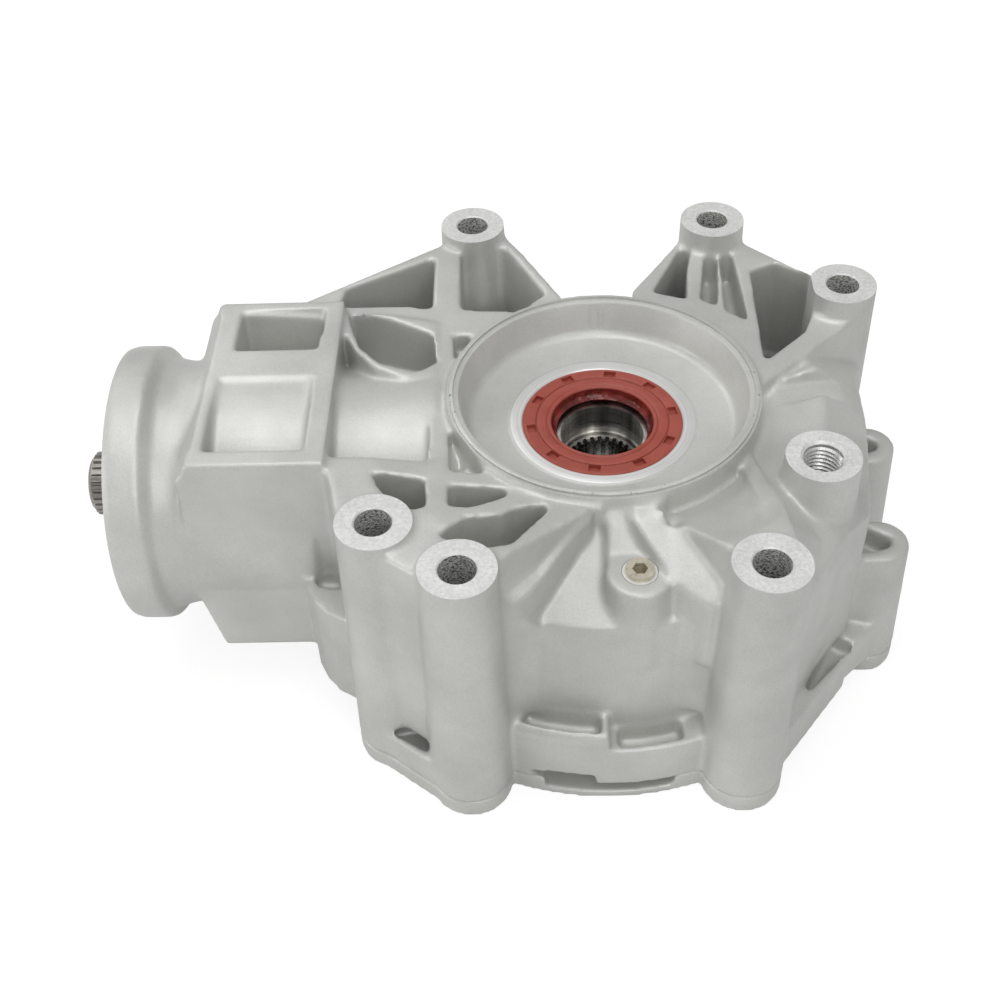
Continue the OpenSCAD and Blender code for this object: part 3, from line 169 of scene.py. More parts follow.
def shader(material, colour, rough, metal, specular=0.5):
    surface = material.node_tree.nodes["Principled BSDF"]
    surface.inputs["Base Color"].default_value = (*colour, 1)
    surface.inputs["Roughness"].default_value = rough
    surface.inputs["Metallic"].default_value = metal
    surface.inputs["Specular IOR Level"].default_value = specular
    return surface


def noise(tree, scale, detail, stretch=None, rough=0.55):
    """Cloudy noise on the piece's own coordinates, in metres."""
    place = tree.nodes.new("ShaderNodeTexCoord")
    found = tree.nodes.new("ShaderNodeTexNoise")
    found.inputs["Scale"].default_value = scale
    found.inputs["Detail"].default_value = detail
    found.inputs["Roughness"].default_value = rough
    if stretch:
        move = tree.nodes.new("ShaderNodeMapping")
        move.inputs["Scale"].default_value = stretch
        tree.links.new(place.outputs["Object"], move.inputs[0])
        tree.links.new(move.outputs[0], found.inputs["Vector"])
    else:
        tree.links.new(place.outputs["Object"], found.inputs["Vector"])
    return found.outputs["Fac"]


def between(tree, factor, low, high, dark, pale):
    """A colour that runs from dark to pale while the factor goes from low to high."""
    ramp = tree.nodes.new("ShaderNodeValToRGB")
    ramp.color_ramp.elements[0].position = low
    ramp.color_ramp.elements[1].position = high
    for stop, colour in zip(ramp.color_ramp.elements, (dark, pale)):
        stop.color = (*colour, 1)
    tree.links.new(factor, ramp.inputs[0])
    return ramp.outputs[0]


def grey(value):
    return (value, value, value)


def over(tree, kind, factor, base, top):
    """The base colour with the top one mixed over it."""
    mix = tree.nodes.new("ShaderNodeMix")
    mix.data_type = "RGBA"
    mix.blend_type = kind
    if isinstance(factor, float):
        mix.inputs[0].default_value = factor
    else:
        tree.links.new(factor, mix.inputs[0])
    tree.links.new(base, mix.inputs[6])
    tree.links.new(top, mix.inputs[7])
    return mix.outputs[2]


def relief(tree, surface, height, depth, after=None):
    """Bumps of a depth in millimetres, on those of after where it is given."""
    bump = tree.nodes.new("ShaderNodeBump")
    bump.inputs["Strength"].default_value = 1
    bump.inputs["Distance"].default_value = depth * MM
    tree.links.new(height, bump.inputs["Height"])
    if after:
        tree.links.new(after, bump.inputs["Normal"])
    tree.links.new(bump.outputs[0], surface.inputs["Normal"])
    return bump.outputs[0]


def blasted_aluminium(name, pale, dark):
    material = bpy.data.materials.new(name)
    material.use_nodes = True
    tree = material.node_tree
    surface = shader(material, pale, 0.45, 0.38)
    clouds = between(tree, noise(tree, 26, 4), 0.34, 0.66, dark, pale)
    grain = noise(tree, 1500, 3, rough=0.7)
    fine = between(tree, grain, 0.30, 0.70, grey(0.91), grey(1.04))
    skin = over(tree, "MULTIPLY", 1.0, clouds, fine)
    pits = tree.nodes.new("ShaderNodeTexVoronoi")
    pits.inputs["Scale"].default_value = 420
    place = tree.nodes.new("ShaderNodeTexCoord")
    tree.links.new(place.outputs["Object"], pits.inputs["Vector"])
    spots = between(tree, pits.outputs["Distance"], 0.10, 0.17, grey(0.72), grey(1.0))
    skin = over(tree, "MULTIPLY", 0.22, skin, spots)
    tree.links.new(skin, surface.inputs["Base Color"])
    gloss = between(tree, noise(tree, 60, 3), 0.3, 0.7, grey(0.38), grey(0.50))
    tree.links.new(gloss, surface.inputs["Roughness"])
    ripple = relief(tree, surface, noise(tree, 90, 3), 0.22)
    relief(tree, surface, grain, 0.06, ripple)
    return material


def lathe_marks(tree, scale, down=0.2):
    """Noise in rings round the axle axis, as a turning tool leaves them."""
    place = tree.nodes.new("ShaderNodeTexCoord")
    parts = tree.nodes.new("ShaderNodeSeparateXYZ")
    flat = tree.nodes.new("ShaderNodeCombineXYZ")
    radius = tree.nodes.new("ShaderNodeVectorMath")
    radius.operation = "LENGTH"
    line = tree.nodes.new("ShaderNodeCombineXYZ")
    low = tree.nodes.new("ShaderNodeMath")
    low.operation = "MULTIPLY"
    low.inputs[1].default_value = down
    found = tree.nodes.new("ShaderNodeTexNoise")
    found.inputs["Scale"].default_value = scale
    found.inputs["Detail"].default_value = 4
    tree.links.new(place.outputs["Object"], parts.inputs[0])
    tree.links.new(parts.outputs["X"], flat.inputs["X"])
    tree.links.new(parts.outputs["Y"], flat.inputs["Y"])
    tree.links.new(flat.outputs[0], radius.inputs[0])
    tree.links.new(radius.outputs["Value"], line.inputs["X"])
    tree.links.new(parts.outputs["Z"], low.inputs[0])
    tree.links.new(low.outputs[0], line.inputs["Z"])
    tree.links.new(line.outputs[0], found.inputs["Vector"])
    return found.outputs["Fac"]


def turned_metal(name, colour, rough, down=0.2, metal=0.8):
    """Metal turned on a lathe about the axle axis."""
    material = bpy.data.materials.new(name)
    material.use_nodes = True
    tree = material.node_tree
    surface = shader(material, colour, rough, metal)
    marks = lathe_marks(tree, 1400, down)
    tone = between(tree, marks, 0.3, 0.7, tuple(0.84 * c for c in colour), colour)
    stain = between(tree, noise(tree, 60, 3), 0.35, 0.7, grey(0.88), grey(1.0))
    tree.links.new(over(tree, "MULTIPLY", 0.7, tone, stain), surface.inputs["Base Color"])
    tree.links.new(
        between(tree, marks, 0.3, 0.7, grey(rough - 0.06), grey(rough + 0.08)),
        surface.inputs["Roughness"],
    )
    relief(tree, surface, marks, 0.02)
    return material


def cut_metal(name, colour, rough, pattern, metal=0.85):
    """Fresh metal with the fine marks of a cutter."""
    material = bpy.data.materials.new(name)
    material.use_nodes = True
    tree = material.node_tree
    surface = shader(material, colour, rough, metal)
    marks = noise(tree, 900, 4, pattern, 0.6)
    dark = tuple(0.80 * c for c in colour)
    pale = tuple(min(1, 1.06 * c) for c in colour)
    tone = between(tree, marks, 0.3, 0.7, dark, pale)
    stain = between(tree, noise(tree, 70, 3), 0.35, 0.7, grey(0.86), grey(1.0))
    tree.links.new(over(tree, "MULTIPLY", 0.8, tone, stain), surface.inputs["Base Color"])
    tree.links.new(
        between(tree, noise(tree, 300, 2), 0.3, 0.7, grey(rough - 0.08), grey(rough + 0.1)),
        surface.inputs["Roughness"],
    )
    relief(tree, surface, marks, 0.04)
    return material


def oily_bore(name):
    """Drilled wall, dark with oil and speckled where the metal shows through."""
    material = bpy.data.materials.new(name)
    material.use_nodes = True
    tree = material.node_tree
    surface = shader(material, grey(0.5), 0.3, 0.55)
    marks = noise(tree, 1000, 5, (1, 1, 2.0), 0.75)
    tone = between(tree, marks, 0.41, 0.55, (0.12, 0.122, 0.115), (0.95, 0.95, 0.92))
    tree.links.new(tone, surface.inputs["Base Color"])
    tree.links.new(
        between(tree, marks, 0.4, 0.6, grey(0.25), grey(0.5)), surface.inputs["Roughness"]
    )
    relief(tree, surface, marks, 0.12)
    return material


casting_skin = blasted_aluminium(
    "blasted cast aluminium", (0.63, 0.632, 0.605), (0.53, 0.533, 0.51)
)
milled = cut_metal("milled aluminium", (0.80, 0.80, 0.79), 0.46, (1, 1, 1), 0.3)
bored = cut_metal("bored aluminium", (0.80, 0.80, 0.79), 0.34, (1, 1, 3))
drilled = oily_bore("oily drilled aluminium")
seat_metal = turned_metal("turned seal seat", (0.84, 0.84, 0.83), 0.36, 0.2, 0.55)


def turned(profile, steps=96, place=Matrix.Identity(4)):
    """A closed turned solid from a profile of (radius, height) in millimetres."""
    body = bmesh.new()
    rings = []
    for r, h in profile:
        if r < 1e-6:
            rings.append([body.verts.new((0, 0, h * MM))] * steps)
        else:
            rings.append([
                body.verts.new((
                    r * math.cos(i * math.tau / steps) * MM,
                    r * math.sin(i * math.tau / steps) * MM,
                    h * MM,
                ))
                for i in range(steps)
            ])
    for low, high in zip(rings, rings[1:] + rings[:1]):
        for i in range(steps):
            j = (i + 1) % steps
            corners = []
            for corner in (low[i], low[j], high[j], high[i]):
                if corner not in corners:
                    corners.append(corner)
            if len(corners) > 2:
                body.faces.new(corners)
    bmesh.ops.recalc_face_normals(body, faces=body.faces)
    body.transform(place)
    return body


def add_object(name, body, *materials):
    mesh = bpy.data.meshes.new(name)
    body.to_mesh(mesh)
    body.free()
    thing = bpy.data.objects.new(name, mesh)
    bpy.context.scene.collection.objects.link(thing)
    for material in materials:
        mesh.materials.append(material)
    return thing


def prism(outline, low, high):
    """An upright block over an outline; low and high are one height, or one for each corner."""
    floors = low if isinstance(low, list) else [low] * len(outline)
    tops = high if isinstance(high, list) else [high] * len(outline)
    body = bmesh.new()
    under = [body.verts.new((x * MM, y * MM, h * MM)) for (x, y), h in zip(outline, floors)]
    upper = [body.verts.new((x * MM, y * MM, h * MM)) for (x, y), h in zip(outline, tops)]
    body.faces.new(under)
    body.faces.new(upper)
    for i in range(len(outline)):
        j = (i + 1) % len(outline)
        body.faces.new((under[i], under[j], upper[j], upper[i]))
    bmesh.ops.triangulate(body, faces=body.faces)
    bmesh.ops.recalc_face_normals(body, faces=body.faces)
    return body


def on_pinion():
    """Turns a profile's axis from +Z to the pinion's, which runs towards -X."""
    return Matrix.Translation((0, 0, pinion_axis * MM)) @ Matrix.Rotation(-math.pi / 2, 4, "Y")


def at(x, y, z=0):
    return Matrix.Translation((x * MM, y * MM, z * MM))


def applied(thing):
    """The object with its modifiers worked into its mesh."""
    graph = bpy.context.evaluated_depsgraph_get()
    fresh = bpy.data.meshes.new_from_object(thing.evaluated_get(graph))
    thing.modifiers.clear()
    old = thing.data
    thing.data = fresh
    for number, material in enumerate(old.materials):
        if number >= len(fresh.materials):
            fresh.materials.append(material)
        elif fresh.materials[number] is None:
            fresh.materials[number] = material
    bpy.data.meshes.remove(old)
    return thing


def cut_by(thing, cutter):
    """Takes the cutter out of the thing; the cut faces keep the cutter's materials."""
    step = thing.modifiers.new("cut", "BOOLEAN")
    step.operation = "DIFFERENCE"
    step.solver = "MANIFOLD"
    step.material_mode = "TRANSFER"
    step.object = cutter
    applied(thing)
    bpy.data.objects.remove(cutter)


def soften(name, node, stock, carved, passes, triangles):
    """A soft casting from a CAD node, the stock left on it for machining and its carved pockets."""

    def remesh():
        step = thing.modifiers.new("remesh", "REMESH")
        step.mode = "VOXEL"
        step.voxel_size = voxel

    body = bmesh.new()
    body.from_mesh(nodes[node].data)
    bmesh.ops.remove_doubles(body, verts=body.verts, dist=1e-6)
    for piece in stock:
        part = bpy.data.meshes.new("stock")
        piece.to_mesh(part)
        piece.free()
        body.from_mesh(part)
        bpy.data.meshes.remove(part)
    thing = add_object(name, body, casting_skin)
    remesh()
    if carved:
        applied(thing)
        for outline, floors in carved:
            pocket = prism(outline, floors, carve_top)
            cut_by(thing, add_object("pocket", pocket, casting_skin))
        remesh()
    step = thing.modifiers.new("smooth", "SMOOTH")
    step.factor = 0.5
    step.iterations = passes
    applied(thing)
    count = len(thing.data.polygons) * 2
    step = thing.modifiers.new("thin out", "DECIMATE")
    step.ratio = min(1, triangles / count)
    applied(thing)
    return thing


# Stock on the bosses, the plug's face, the seal's seat and the nose, for the cuts below
allowance = 3
stock = []
for x, y in bosses:
    stock.append(turned([
        (0, 9), (hole_r + 0.6, 9), (hole_r + 0.6, 60), (boss_r, 60),
        (boss_r, boss_top + allowance), (0, boss_top + allowance),
    ], 48, at(x, y)))
stock.append(turned([
    (0, 85), (8.5, 85), (8.5, 100), (boss_r, 100),
    (boss_r, boss_top + allowance), (0, boss_top + allowance),
], 48, at(*threaded)))
stock.append(turned([(0, 80), (8, 80), (8, plug_face + 1), (0, plug_face + 1)], 48, at(*plug_at)))
stock.append(turned([(0, 84), (33.4, 84), (33.4, 97.6), (0, 97.6)]))
stock.append(turned([(0, 150), (45, 150), (51.5, 176), (51.5, 181), (0, 181)], 96, on_pinion()))
# Ends of the front ribs where they meet the rim, with their tops running down to the bosses
rib_foot = 62
for outline, tops in (
    (
        [(-41, -56), (-33, -49), (-26, -52), (-21, -58), (-27, -66), (-42, -62)],
        [109, 109.5, 109.5, 109, 108, 108.5],
    ),
    (
        [
            (-17, -54), (-7, -55), (-7, -62), (-12, -67), (-27, -85), (-34, -91), (-39, -88),
            (-39, -82), (-20, -62),
        ],
        [107.2, 107.2, 106.5, 105.5, 97, 95, 99, 101, 105.5],
    ),
    (
        [
            (4, -56), (12.5, -54.5), (15.5, -57), (18, -62), (36, -80), (38, -90), (31, -91),
            (21, -84), (7, -63),
        ],
        [107.2, 107.2, 106.5, 105.5, 101, 97, 93, 95, 105.5],
    ),
):
    stock.append(prism(outline, rib_foot, tops))
# Soft corners between the front columns and the wall
corner_foot = 34
corner = [(41, -98), (37.5, -94), (34, -90.5), (29.5, -88.5), (24, -87.4), (22, -84), (40, -80)]
corner_tops = [99, 98, 96, 86, 76, 76, 98]
for side in (-1, 1):
    stock.append(prism([(side * x, y) for x, y in corner], corner_foot, corner_tops))
# Slope from the right front deck to the wall, closed against the threaded boss
for outline, foot, tops in (
    ([(55.5, -39), (61, -39), (62, -50), (55.5, -50)], 89, [103.5, 104.3, 104.5, 107]),
    ([(55.5, -50), (62, -50), (65, -60), (55.5, -62)], 84, [107, 104.5, 102, 111.5]),
    ([(55.5, -62), (65, -60), (70, -65), (68.5, -73), (57, -73)], 84, [111.5, 102, 97, 94, 113]),
    ([(57, -73), (68.5, -73), (64.5, -81), (60, -87), (56, -84)], 84, [113, 94, 92.5, 92, 112]),
):
    stock.append(prism(outline, foot, tops))
# Rim of the cup
stock.append(turned([(52.5, 100), (57.5, 100), (57.5, rim_top + 1), (52.5, rim_top + 1)], 180))
# Pockets between the ribs, opened by the width that their fillets take. Each is an outline
# with its floor, which is one height or one for each corner.
carve_top = 125
pockets = [
    # Rear right arm
    ([(36, 92), (39.5, 91.5), (36, 58), (23, 63)], 60),
    ([(46, 86.8), (50, 86.2), (47.5, 53), (41.5, 57.5)], 94),
    ([(52.3, 86.4), (57.5, 88.4), (58.5, 43), (50.5, 50)], 94),
    ([(63.5, 76), (74.5, 81.5), (87, 72), (84, 60), (83.5, 46), (79, 35), (61.5, 17.5)], 62),
    # Front left deck
    ([(-82, -45.5), (-63.5, -47), (-62.5, -61), (-66, -64), (-76, -55)], 78),
    ([(-55.5, -49), (-35, -48.8), (-36, -53.5), (-47, -60.2), (-55, -60.8)], 88),
    (
        [
            (-57, -75), (-49, -66.5), (-37.5, -64), (-33, -60), (-22, -57), (-22, -61),
            (-34, -79.5), (-39, -81),
        ],
        86,
    ),
    # Hexagonal pocket and box pocket of the neck
    (
        [
            (-97, 47), (-63.5, 34.8), (-61.8, 19.5), (-69.5, 12.8), (-83, 15.8),
            (-90.5, 23.5), (-94, 34.5),
        ],
        90,
    ),
    ([(-137, 20.3), (-106, 20.3), (-106, 43), (-137, 43)], [110.3, 110.3, 87, 87]),
    # Hollows by the rim
    ([(-56, 36), (-48.5, 37), (-54.5, 20)], 101),
    ([(-56.5, -15), (-43, -41), (-55, -41)], 101),
    # Right shoulder, left with a low bar
    ([(60, -4), (60, 5.5), (72, 10), (90, 15), (92, 2)], [104, 104, 103, 100, 100]),
    ([(66, 5), (73, 15.5), (79.5, 18), (79.5, 5)], [105.6, 107, 107.8, 108]),
    ([(79.5, 5), (79.5, 18), (86, 18), (90, 13), (90, 5)], [108, 107.8, 103.9, 101.5, 101.6]),
    # End of the right front rib, beside the rim
    ([(7, -58.1), (15.5, -57), (18, -62), (12, -63), (7, -61)], 107),
    (
        [(15.5, -57.4), (19, -55.8), (25, -57.8), (25.5, -63.5), (19.5, -64)],
        [106.4, 101.2, 102.4, 104.6, 100],
    ),
]
housing = soften("housing_casting", "main_housing", stock, pockets, 12, 170000)

cutters = bmesh.new()


def add_cut(body, pick):
    """Adds a turned cutter; pick gives the material number of a face from its middle and way."""
    for face in body.faces:
        face.material_index = pick(face.calc_center_median() / MM, face.normal)
    part = bpy.data.meshes.new("cutter")
    body.to_mesh(part)
    body.free()
    cutters.from_mesh(part)
    bpy.data.meshes.remove(part)


# Through holes and faces of the bosses, the threaded hole, and the plug's spot face
cut_top = 124
face_r = boss_r + 1.5
tap_r = 6.9
for x, y in bosses:
    add_cut(
        turned([
            (0, 2), (hole_r, 2), (hole_r, boss_top - 0.5), (hole_r + 0.5, boss_top),
            (face_r, boss_top), (face_r, cut_top), (0, cut_top),
        ], 64, at(x, y)),
        lambda middle, way: 1 if abs(way.z) > 0.3 else 3,
    )
add_cut(
    turned([
        (0, 87), (tap_r, 87), (tap_r, boss_top - 1), (tap_r + 1, boss_top),
        (face_r, boss_top), (face_r, cut_top), (0, cut_top),
    ], 64, at(*threaded)),
    lambda middle, way: 1 if abs(way.z) > 0.3 and middle.z > 100 else 2,
)
add_cut(
    turned([
        (0, 70), (4.02, 70), (4.02, plug_face), (6.2, plug_face), (6.2, 101), (0, 101),
    ], 48, at(*plug_at)),
    lambda middle, way: 1,
)


def dish_material(middle, way):
    if middle.z <= 90:
        return 2
    return 4 if math.hypot(middle.x, middle.y) < 34.5 else 0


# Bore of the upper bearing, seat of the seal, dish and rim, then the groove in the rim
add_cut(
    turned([
        (0, 71), (ring_bore_r, 71), (ring_bore_r, 86.5), (26.8, 86.5), (26.8, 88), (seal_r, 88),
        (seal_r, seal_face - 0.5), (seal_r + 0.5, seal_face), (34.3, seal_face), (34.8, 95.7),
        (36, 95.6), (42, 96.4), (47.2, 97.2), (48.4, 97.6), (49.6, 98.7), (50.3, 100.2),
        (52.6, 110.0), (53.1, 110.8), (53.8, rim_top), (60, rim_top), (60, 114), (0, 114)
    ], 180),
    dish_material,
)
add_cut(
    turned([(55.1, 113), (55.1, 111), (55.7, 110.1), (56.3, 111), (56.3, 113)], 180),
    lambda middle, way: 0,
)
# Bores of the pinion's bearings and seal, and the spigot at the nose
add_cut(
    turned([
        (0, 60), (25.5, 60), (25.5, 75), (35.5, 75), (35.5, 79), (pinion_cup_r, 79),
        (pinion_cup_r, 97), (31, 97), (31, 101), (26, 106), (26, 128), (31, 128), (31, 145),
        (27, 145), (27, 163), (36, 164), (40, 169), (40, 176),
        (42, 178), (54, 178), (54, 185), (0, 185)
    ], 96, on_pinion()),
    lambda middle, way: 2,
)
skins = (casting_skin, milled, bored, drilled, seat_metal)
cut_by(housing, add_object("housing_cutter", cutters, *skins))
housing.data.shade_smooth()
housing.data.set_sharp_from_angle(angle=sharp)
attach(housing, "housing")
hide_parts("main_housing")


# Upper axle seal: a steel ring moulded over with red-brown rubber, pressed into its bore
# until it lies flush. Ten small notches break its outer step, and its lip rubs on the shaft.
seal_lip = 17.1


def rubber(name, pale, dark, rough=0.45):
    material = bpy.data.materials.new(name)
    material.use_nodes = True
    tree = material.node_tree
    surface = shader(material, pale, rough, 0.0, 0.45)
    tone = between(tree, noise(tree, 160, 4), 0.3, 0.7, dark, pale)
    grain = noise(tree, 2200, 2)
    tree.links.new(
        over(tree, "MULTIPLY", 0.5, tone, between(tree, grain, 0.3, 0.7, grey(0.8), grey(1.1))),
        surface.inputs["Base Color"],
    )
    tree.links.new(
        between(tree, noise(tree, 240, 3), 0.35, 0.7, grey(rough - 0.12), grey(rough + 0.1)),
        surface.inputs["Roughness"],
    )
    relief(tree, surface, grain, 0.05)
    return material


red_rubber = rubber("red brown rubber", (0.37, 0.076, 0.053), (0.31, 0.060, 0.040))
greased_rubber = rubber("greased rubber", (0.24, 0.026, 0.018), (0.05, 0.007, 0.006), 0.2)
surface = greased_rubber.node_tree.nodes["Principled BSDF"]
relief(greased_rubber.node_tree, surface, noise(greased_rubber.node_tree, 330, 2), 0.7)


def group_socket(group, name, kind, value=None):
    """Names one of a tree's inputs and gives it its usual size."""
    socket = group.interface.new_socket(name, in_out="INPUT", socket_type=kind)
    if value is not None:
        socket.default_value = value


def set_inputs(modifier, values):
    """Sets a modifier's inputs by their sockets' identifiers."""
    for item in modifier.node_group.interface.items_tree:
        if item.item_type == "SOCKET" and item.in_out == "INPUT" and item.name in values:
            modifier[item.identifier] = values[item.name]


def ring_tree(name):
    """A tree that repeats an object evenly round a circle about the Z axis."""
    group = bpy.data.node_groups.new(name, "GeometryNodeTree")
    group_socket(group, "Geometry", "NodeSocketGeometry")
    group_socket(group, "Piece", "NodeSocketObject")
    group_socket(group, "Count", "NodeSocketInt", 10)
    group_socket(group, "Circle radius", "NodeSocketFloat", 0.02)
    group_socket(group, "First angle", "NodeSocketFloat", 0.0)
    group_socket(group, "Height", "NodeSocketFloat", 0.0)
    group_socket(group, "Finish", "NodeSocketMaterial")
    group.interface.new_socket("Geometry", in_out="OUTPUT", socket_type="NodeSocketGeometry")
    make = group.nodes.new
    link = group.links.new
    given = make("NodeGroupInput")
    result = make("NodeGroupOutput")
    points = make("GeometryNodePoints")
    index = make("GeometryNodeInputIndex")
    share = make("ShaderNodeMath")
    share.operation = "DIVIDE"
    turn = make("ShaderNodeMath")
    turn.operation = "MULTIPLY_ADD"
    turn.inputs[1].default_value = math.tau
    cosine = make("ShaderNodeMath")
    cosine.operation = "COSINE"
    sine = make("ShaderNodeMath")
    sine.operation = "SINE"
    x = make("ShaderNodeMath")
    x.operation = "MULTIPLY"
    y = make("ShaderNodeMath")
    y.operation = "MULTIPLY"
    place = make("ShaderNodeCombineXYZ")
    tilt = make("ShaderNodeCombineXYZ")
    piece = make("GeometryNodeObjectInfo")
    piece.transform_space = "ORIGINAL"
    spread = make("GeometryNodeInstanceOnPoints")
    real = make("GeometryNodeRealizeInstances")
    paint = make("GeometryNodeSetMaterial")
    link(given.outputs["Count"], points.inputs["Count"])
    link(index.outputs[0], share.inputs[0])
    link(given.outputs["Count"], share.inputs[1])
    link(share.outputs[0], turn.inputs[0])
    link(given.outputs["First angle"], turn.inputs[2])
    link(turn.outputs[0], cosine.inputs[0])
    link(turn.outputs[0], sine.inputs[0])
    link(cosine.outputs[0], x.inputs[0])
    link(given.outputs["Circle radius"], x.inputs[1])
    link(sine.outputs[0], y.inputs[0])
    link(given.outputs["Circle radius"], y.inputs[1])
    link(x.outputs[0], place.inputs[0])
    link(y.outputs[0], place.inputs[1])
    link(given.outputs["Height"], place.inputs[2])
    link(place.outputs[0], points.inputs["Position"])
    link(turn.outputs[0], tilt.inputs[2])
    link(given.outputs["Piece"], piece.inputs["Object"])
    link(points.outputs[0], spread.inputs["Points"])
    link(piece.outputs["Geometry"], spread.inputs["Instance"])
    link(tilt.outputs[0], spread.inputs["Rotation"])
    link(spread.outputs[0], real.inputs[0])
    link(real.outputs[0], paint.inputs[0])
    link(given.outputs["Finish"], paint.inputs["Material"])
    link(paint.outputs[0], result.inputs[0])
    return group


round_the_axis = ring_tree("pieces round a circle")


def repeated(name, piece, count, radius, angle, height, finish):
    """A mesh object with the piece repeated round the axle axis."""
    holder = bpy.data.objects.new(name, bpy.data.meshes.new(name))
    bpy.context.scene.collection.objects.link(holder)
    step = holder.modifiers.new("ring", "NODES")
    step.node_group = round_the_axis
    set_inputs(step, {
        "Piece": piece, "Count": count, "Circle radius": radius * MM, "First angle": angle,
        "Height": height * MM, "Finish": finish,
    })
    applied(holder)
    bpy.data.objects.remove(piece)
    return holder


def block(x, y, z):
    body = bmesh.new()
    bmesh.ops.create_cube(body, size=1)
    bmesh.ops.scale(body, vec=(x * MM, y * MM, z * MM), verts=body.verts)
    return body


def axle_seal(name, place, turn):
    """The moulded ring, from its bore wall to its lip; height 8 is the outer face."""
    outer = seal_r - 0.02
    lip = seal_lip
    body = turned([
        (outer, 0), (outer, 7.5), (outer - 0.3, 7.9), (outer - 0.7, 8), (25.1, 8), (24.9, 7.85),
        (24.75, 7.45), (24.55, 7.45), (24.4, 7.8), (24.1, 7.95), (21.6, 7.95), (21.2, 7.8),
        (20.9, 7.45), (20.7, 7.4), (20.4, 7.75), (20.1, 7.95), (19.6, 7.95), (19.2, 7.7),
        (19.0, 7.2), (18.8, 5.4), (18.4, 4.5), (17.5, 3.7), (lip, 3.4), (lip + 0.2, 3.1),
        (lip + 1, 2), (lip + 2, 1.8), (lip + 2.3, 2.3), (lip + 1.9, 3.05), (lip + 2.3, 3.8),
        (lip + 3, 4.6), (outer - 3, 4.8), (outer - 3, 0)
    ], 240)
    for face in body.faces:
        middle = face.calc_center_median() / MM
        face.material_index = 1 if middle.z < 7.3 and math.hypot(middle.x, middle.y) < 19.1 else 0
    seal = add_object(name, body, red_rubber, greased_rubber)
    notch = add_object("notch", block(3.2, 4.4, 3.0), red_rubber)
    notches = repeated("notches", notch, 10, 26.7, turn, 8.0, red_rubber)
    cut_by(seal, notches)
    seal.data.transform(place)
    seal.data.shade_smooth()
    seal.data.set_sharp_from_angle(angle=math.radians(40))
    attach(seal, "housing")
    return seal


upper_seal = axle_seal("upper_axle_seal_ring", at(0, 0, seal_face - 8), math.radians(9))
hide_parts("upper_axle_seal")


# Lower axle seal: the same moulding in red-brown rubber, pressed into the side cover with
# its face down, so that its lip rubs on the other axle shaft.
flip = at(0, 0, 11) @ Matrix.Rotation(math.pi, 4, "X")
lower_seal = axle_seal("lower_axle_seal_ring", flip, 0.0)
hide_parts("lower_axle_seal")


# Garter springs: fine coils of bright spring wire, closed into rings. Each lies in the groove
# behind a seal's lip and presses it on the shaft.
def steel(name, colour, rough, stretch=(1, 1, 1), scale=500, dark=0.62, metal=1.0):
    material = bpy.data.materials.new(name)
    material.use_nodes = True
    tree = material.node_tree
    surface = shader(material, colour, rough, metal)
    marks = noise(tree, scale, 4, stretch, 0.65)
    tone = between(tree, marks, 0.28, 0.72, tuple(dark * c for c in colour), colour)
    film = between(tree, noise(tree, 55, 3), 0.3, 0.7, grey(0.84), grey(1.0))
    tree.links.new(over(tree, "MULTIPLY", 0.8, tone, film), surface.inputs["Base Color"])
    tree.links.new(
        between(tree, marks, 0.3, 0.7, grey(max(0.08, rough - 0.1)), grey(rough + 0.12)),
        surface.inputs["Roughness"],
    )
    relief(tree, surface, marks, 0.03)
    return material


def coat(material, *names):
    """Gives CAD pieces that keep their own shape a finish."""
    for name in names:
        nodes[name].data.materials.clear()
        nodes[name].data.materials.append(material)


spring_wire = steel("spring wire", (0.55, 0.55, 0.54), 0.3)
coat(spring_wire, "upper_seal_spring", "lower_seal_spring", "pinion_seal_spring")


# Threaded hole in the right front boss: turns cut in the casting's own aluminium, which
# shine between their dark roots.
thread_root = 7.0
thread_crest = 6.1
thread_pitch = 1.75
thread_foot = 88.2
steps_round = 48
turns = 15
coil = bmesh.new()
rows = []
for i in range(steps_round * turns + 1):
    angle = i * math.tau / steps_round
    lift = thread_foot + i * thread_pitch / steps_round
    rows.append([
        coil.verts.new((
            (threaded[0] + r * math.cos(angle)) * MM,
            (threaded[1] + r * math.sin(angle)) * MM,
            (lift + h) * MM,
        ))
        for r, h in (
            (thread_root, 0.0), (thread_crest, 0.72), (thread_crest, 0.98), (thread_root, 1.70)
        )
    ])
for low, high in zip(rows, rows[1:]):
    for k in range(4):
        coil.faces.new((low[k], low[(k + 1) % 4], high[(k + 1) % 4], high[k]))
coil.faces.new(rows[0])
coil.faces.new(rows[-1])
bmesh.ops.recalc_face_normals(coil, faces=coil.faces)
thread_metal = cut_metal("cut thread", (0.74, 0.74, 0.72), 0.3, (1, 1, 1))
thread = add_object("boss_thread", coil, thread_metal)
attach(thread, "housing")


# Side cover: the same aluminium, cast flat and faced on its joint. Eight screws from below
# hold it to the casting, and the lower bearing and the lower seal sit in its bore.
cover = soften("cover_casting", "side_cover", [], [], 6, 110000)
cutters = bmesh.new()
for x, y in bosses:
    add_cut(
        turned([
            (0, -2), (hole_r + 0.5, -2), (hole_r + 0.5, -0.01), (hole_r, 0.5), (hole_r, 11),
            (0, 11),
        ], 48, at(x, y)),
        lambda middle, way: 3,
    )
add_cut(
    turned([
        (0, -3), (ring_bore_r, -3), (ring_bore_r, 3), (seal_r, 3), (seal_r, 11), (26.8, 11),
        (26.8, 12.5), (ring_bore_r, 12.5), (ring_bore_r, 29), (0, 29),
    ]),
    lambda middle, way: 2,
)
cut_by(cover, add_object("cover_cutter", cutters, casting_skin, milled, bored, drilled))
cover.data.shade_smooth()
cover.data.set_sharp_from_angle(angle=sharp)
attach(cover, "housing")
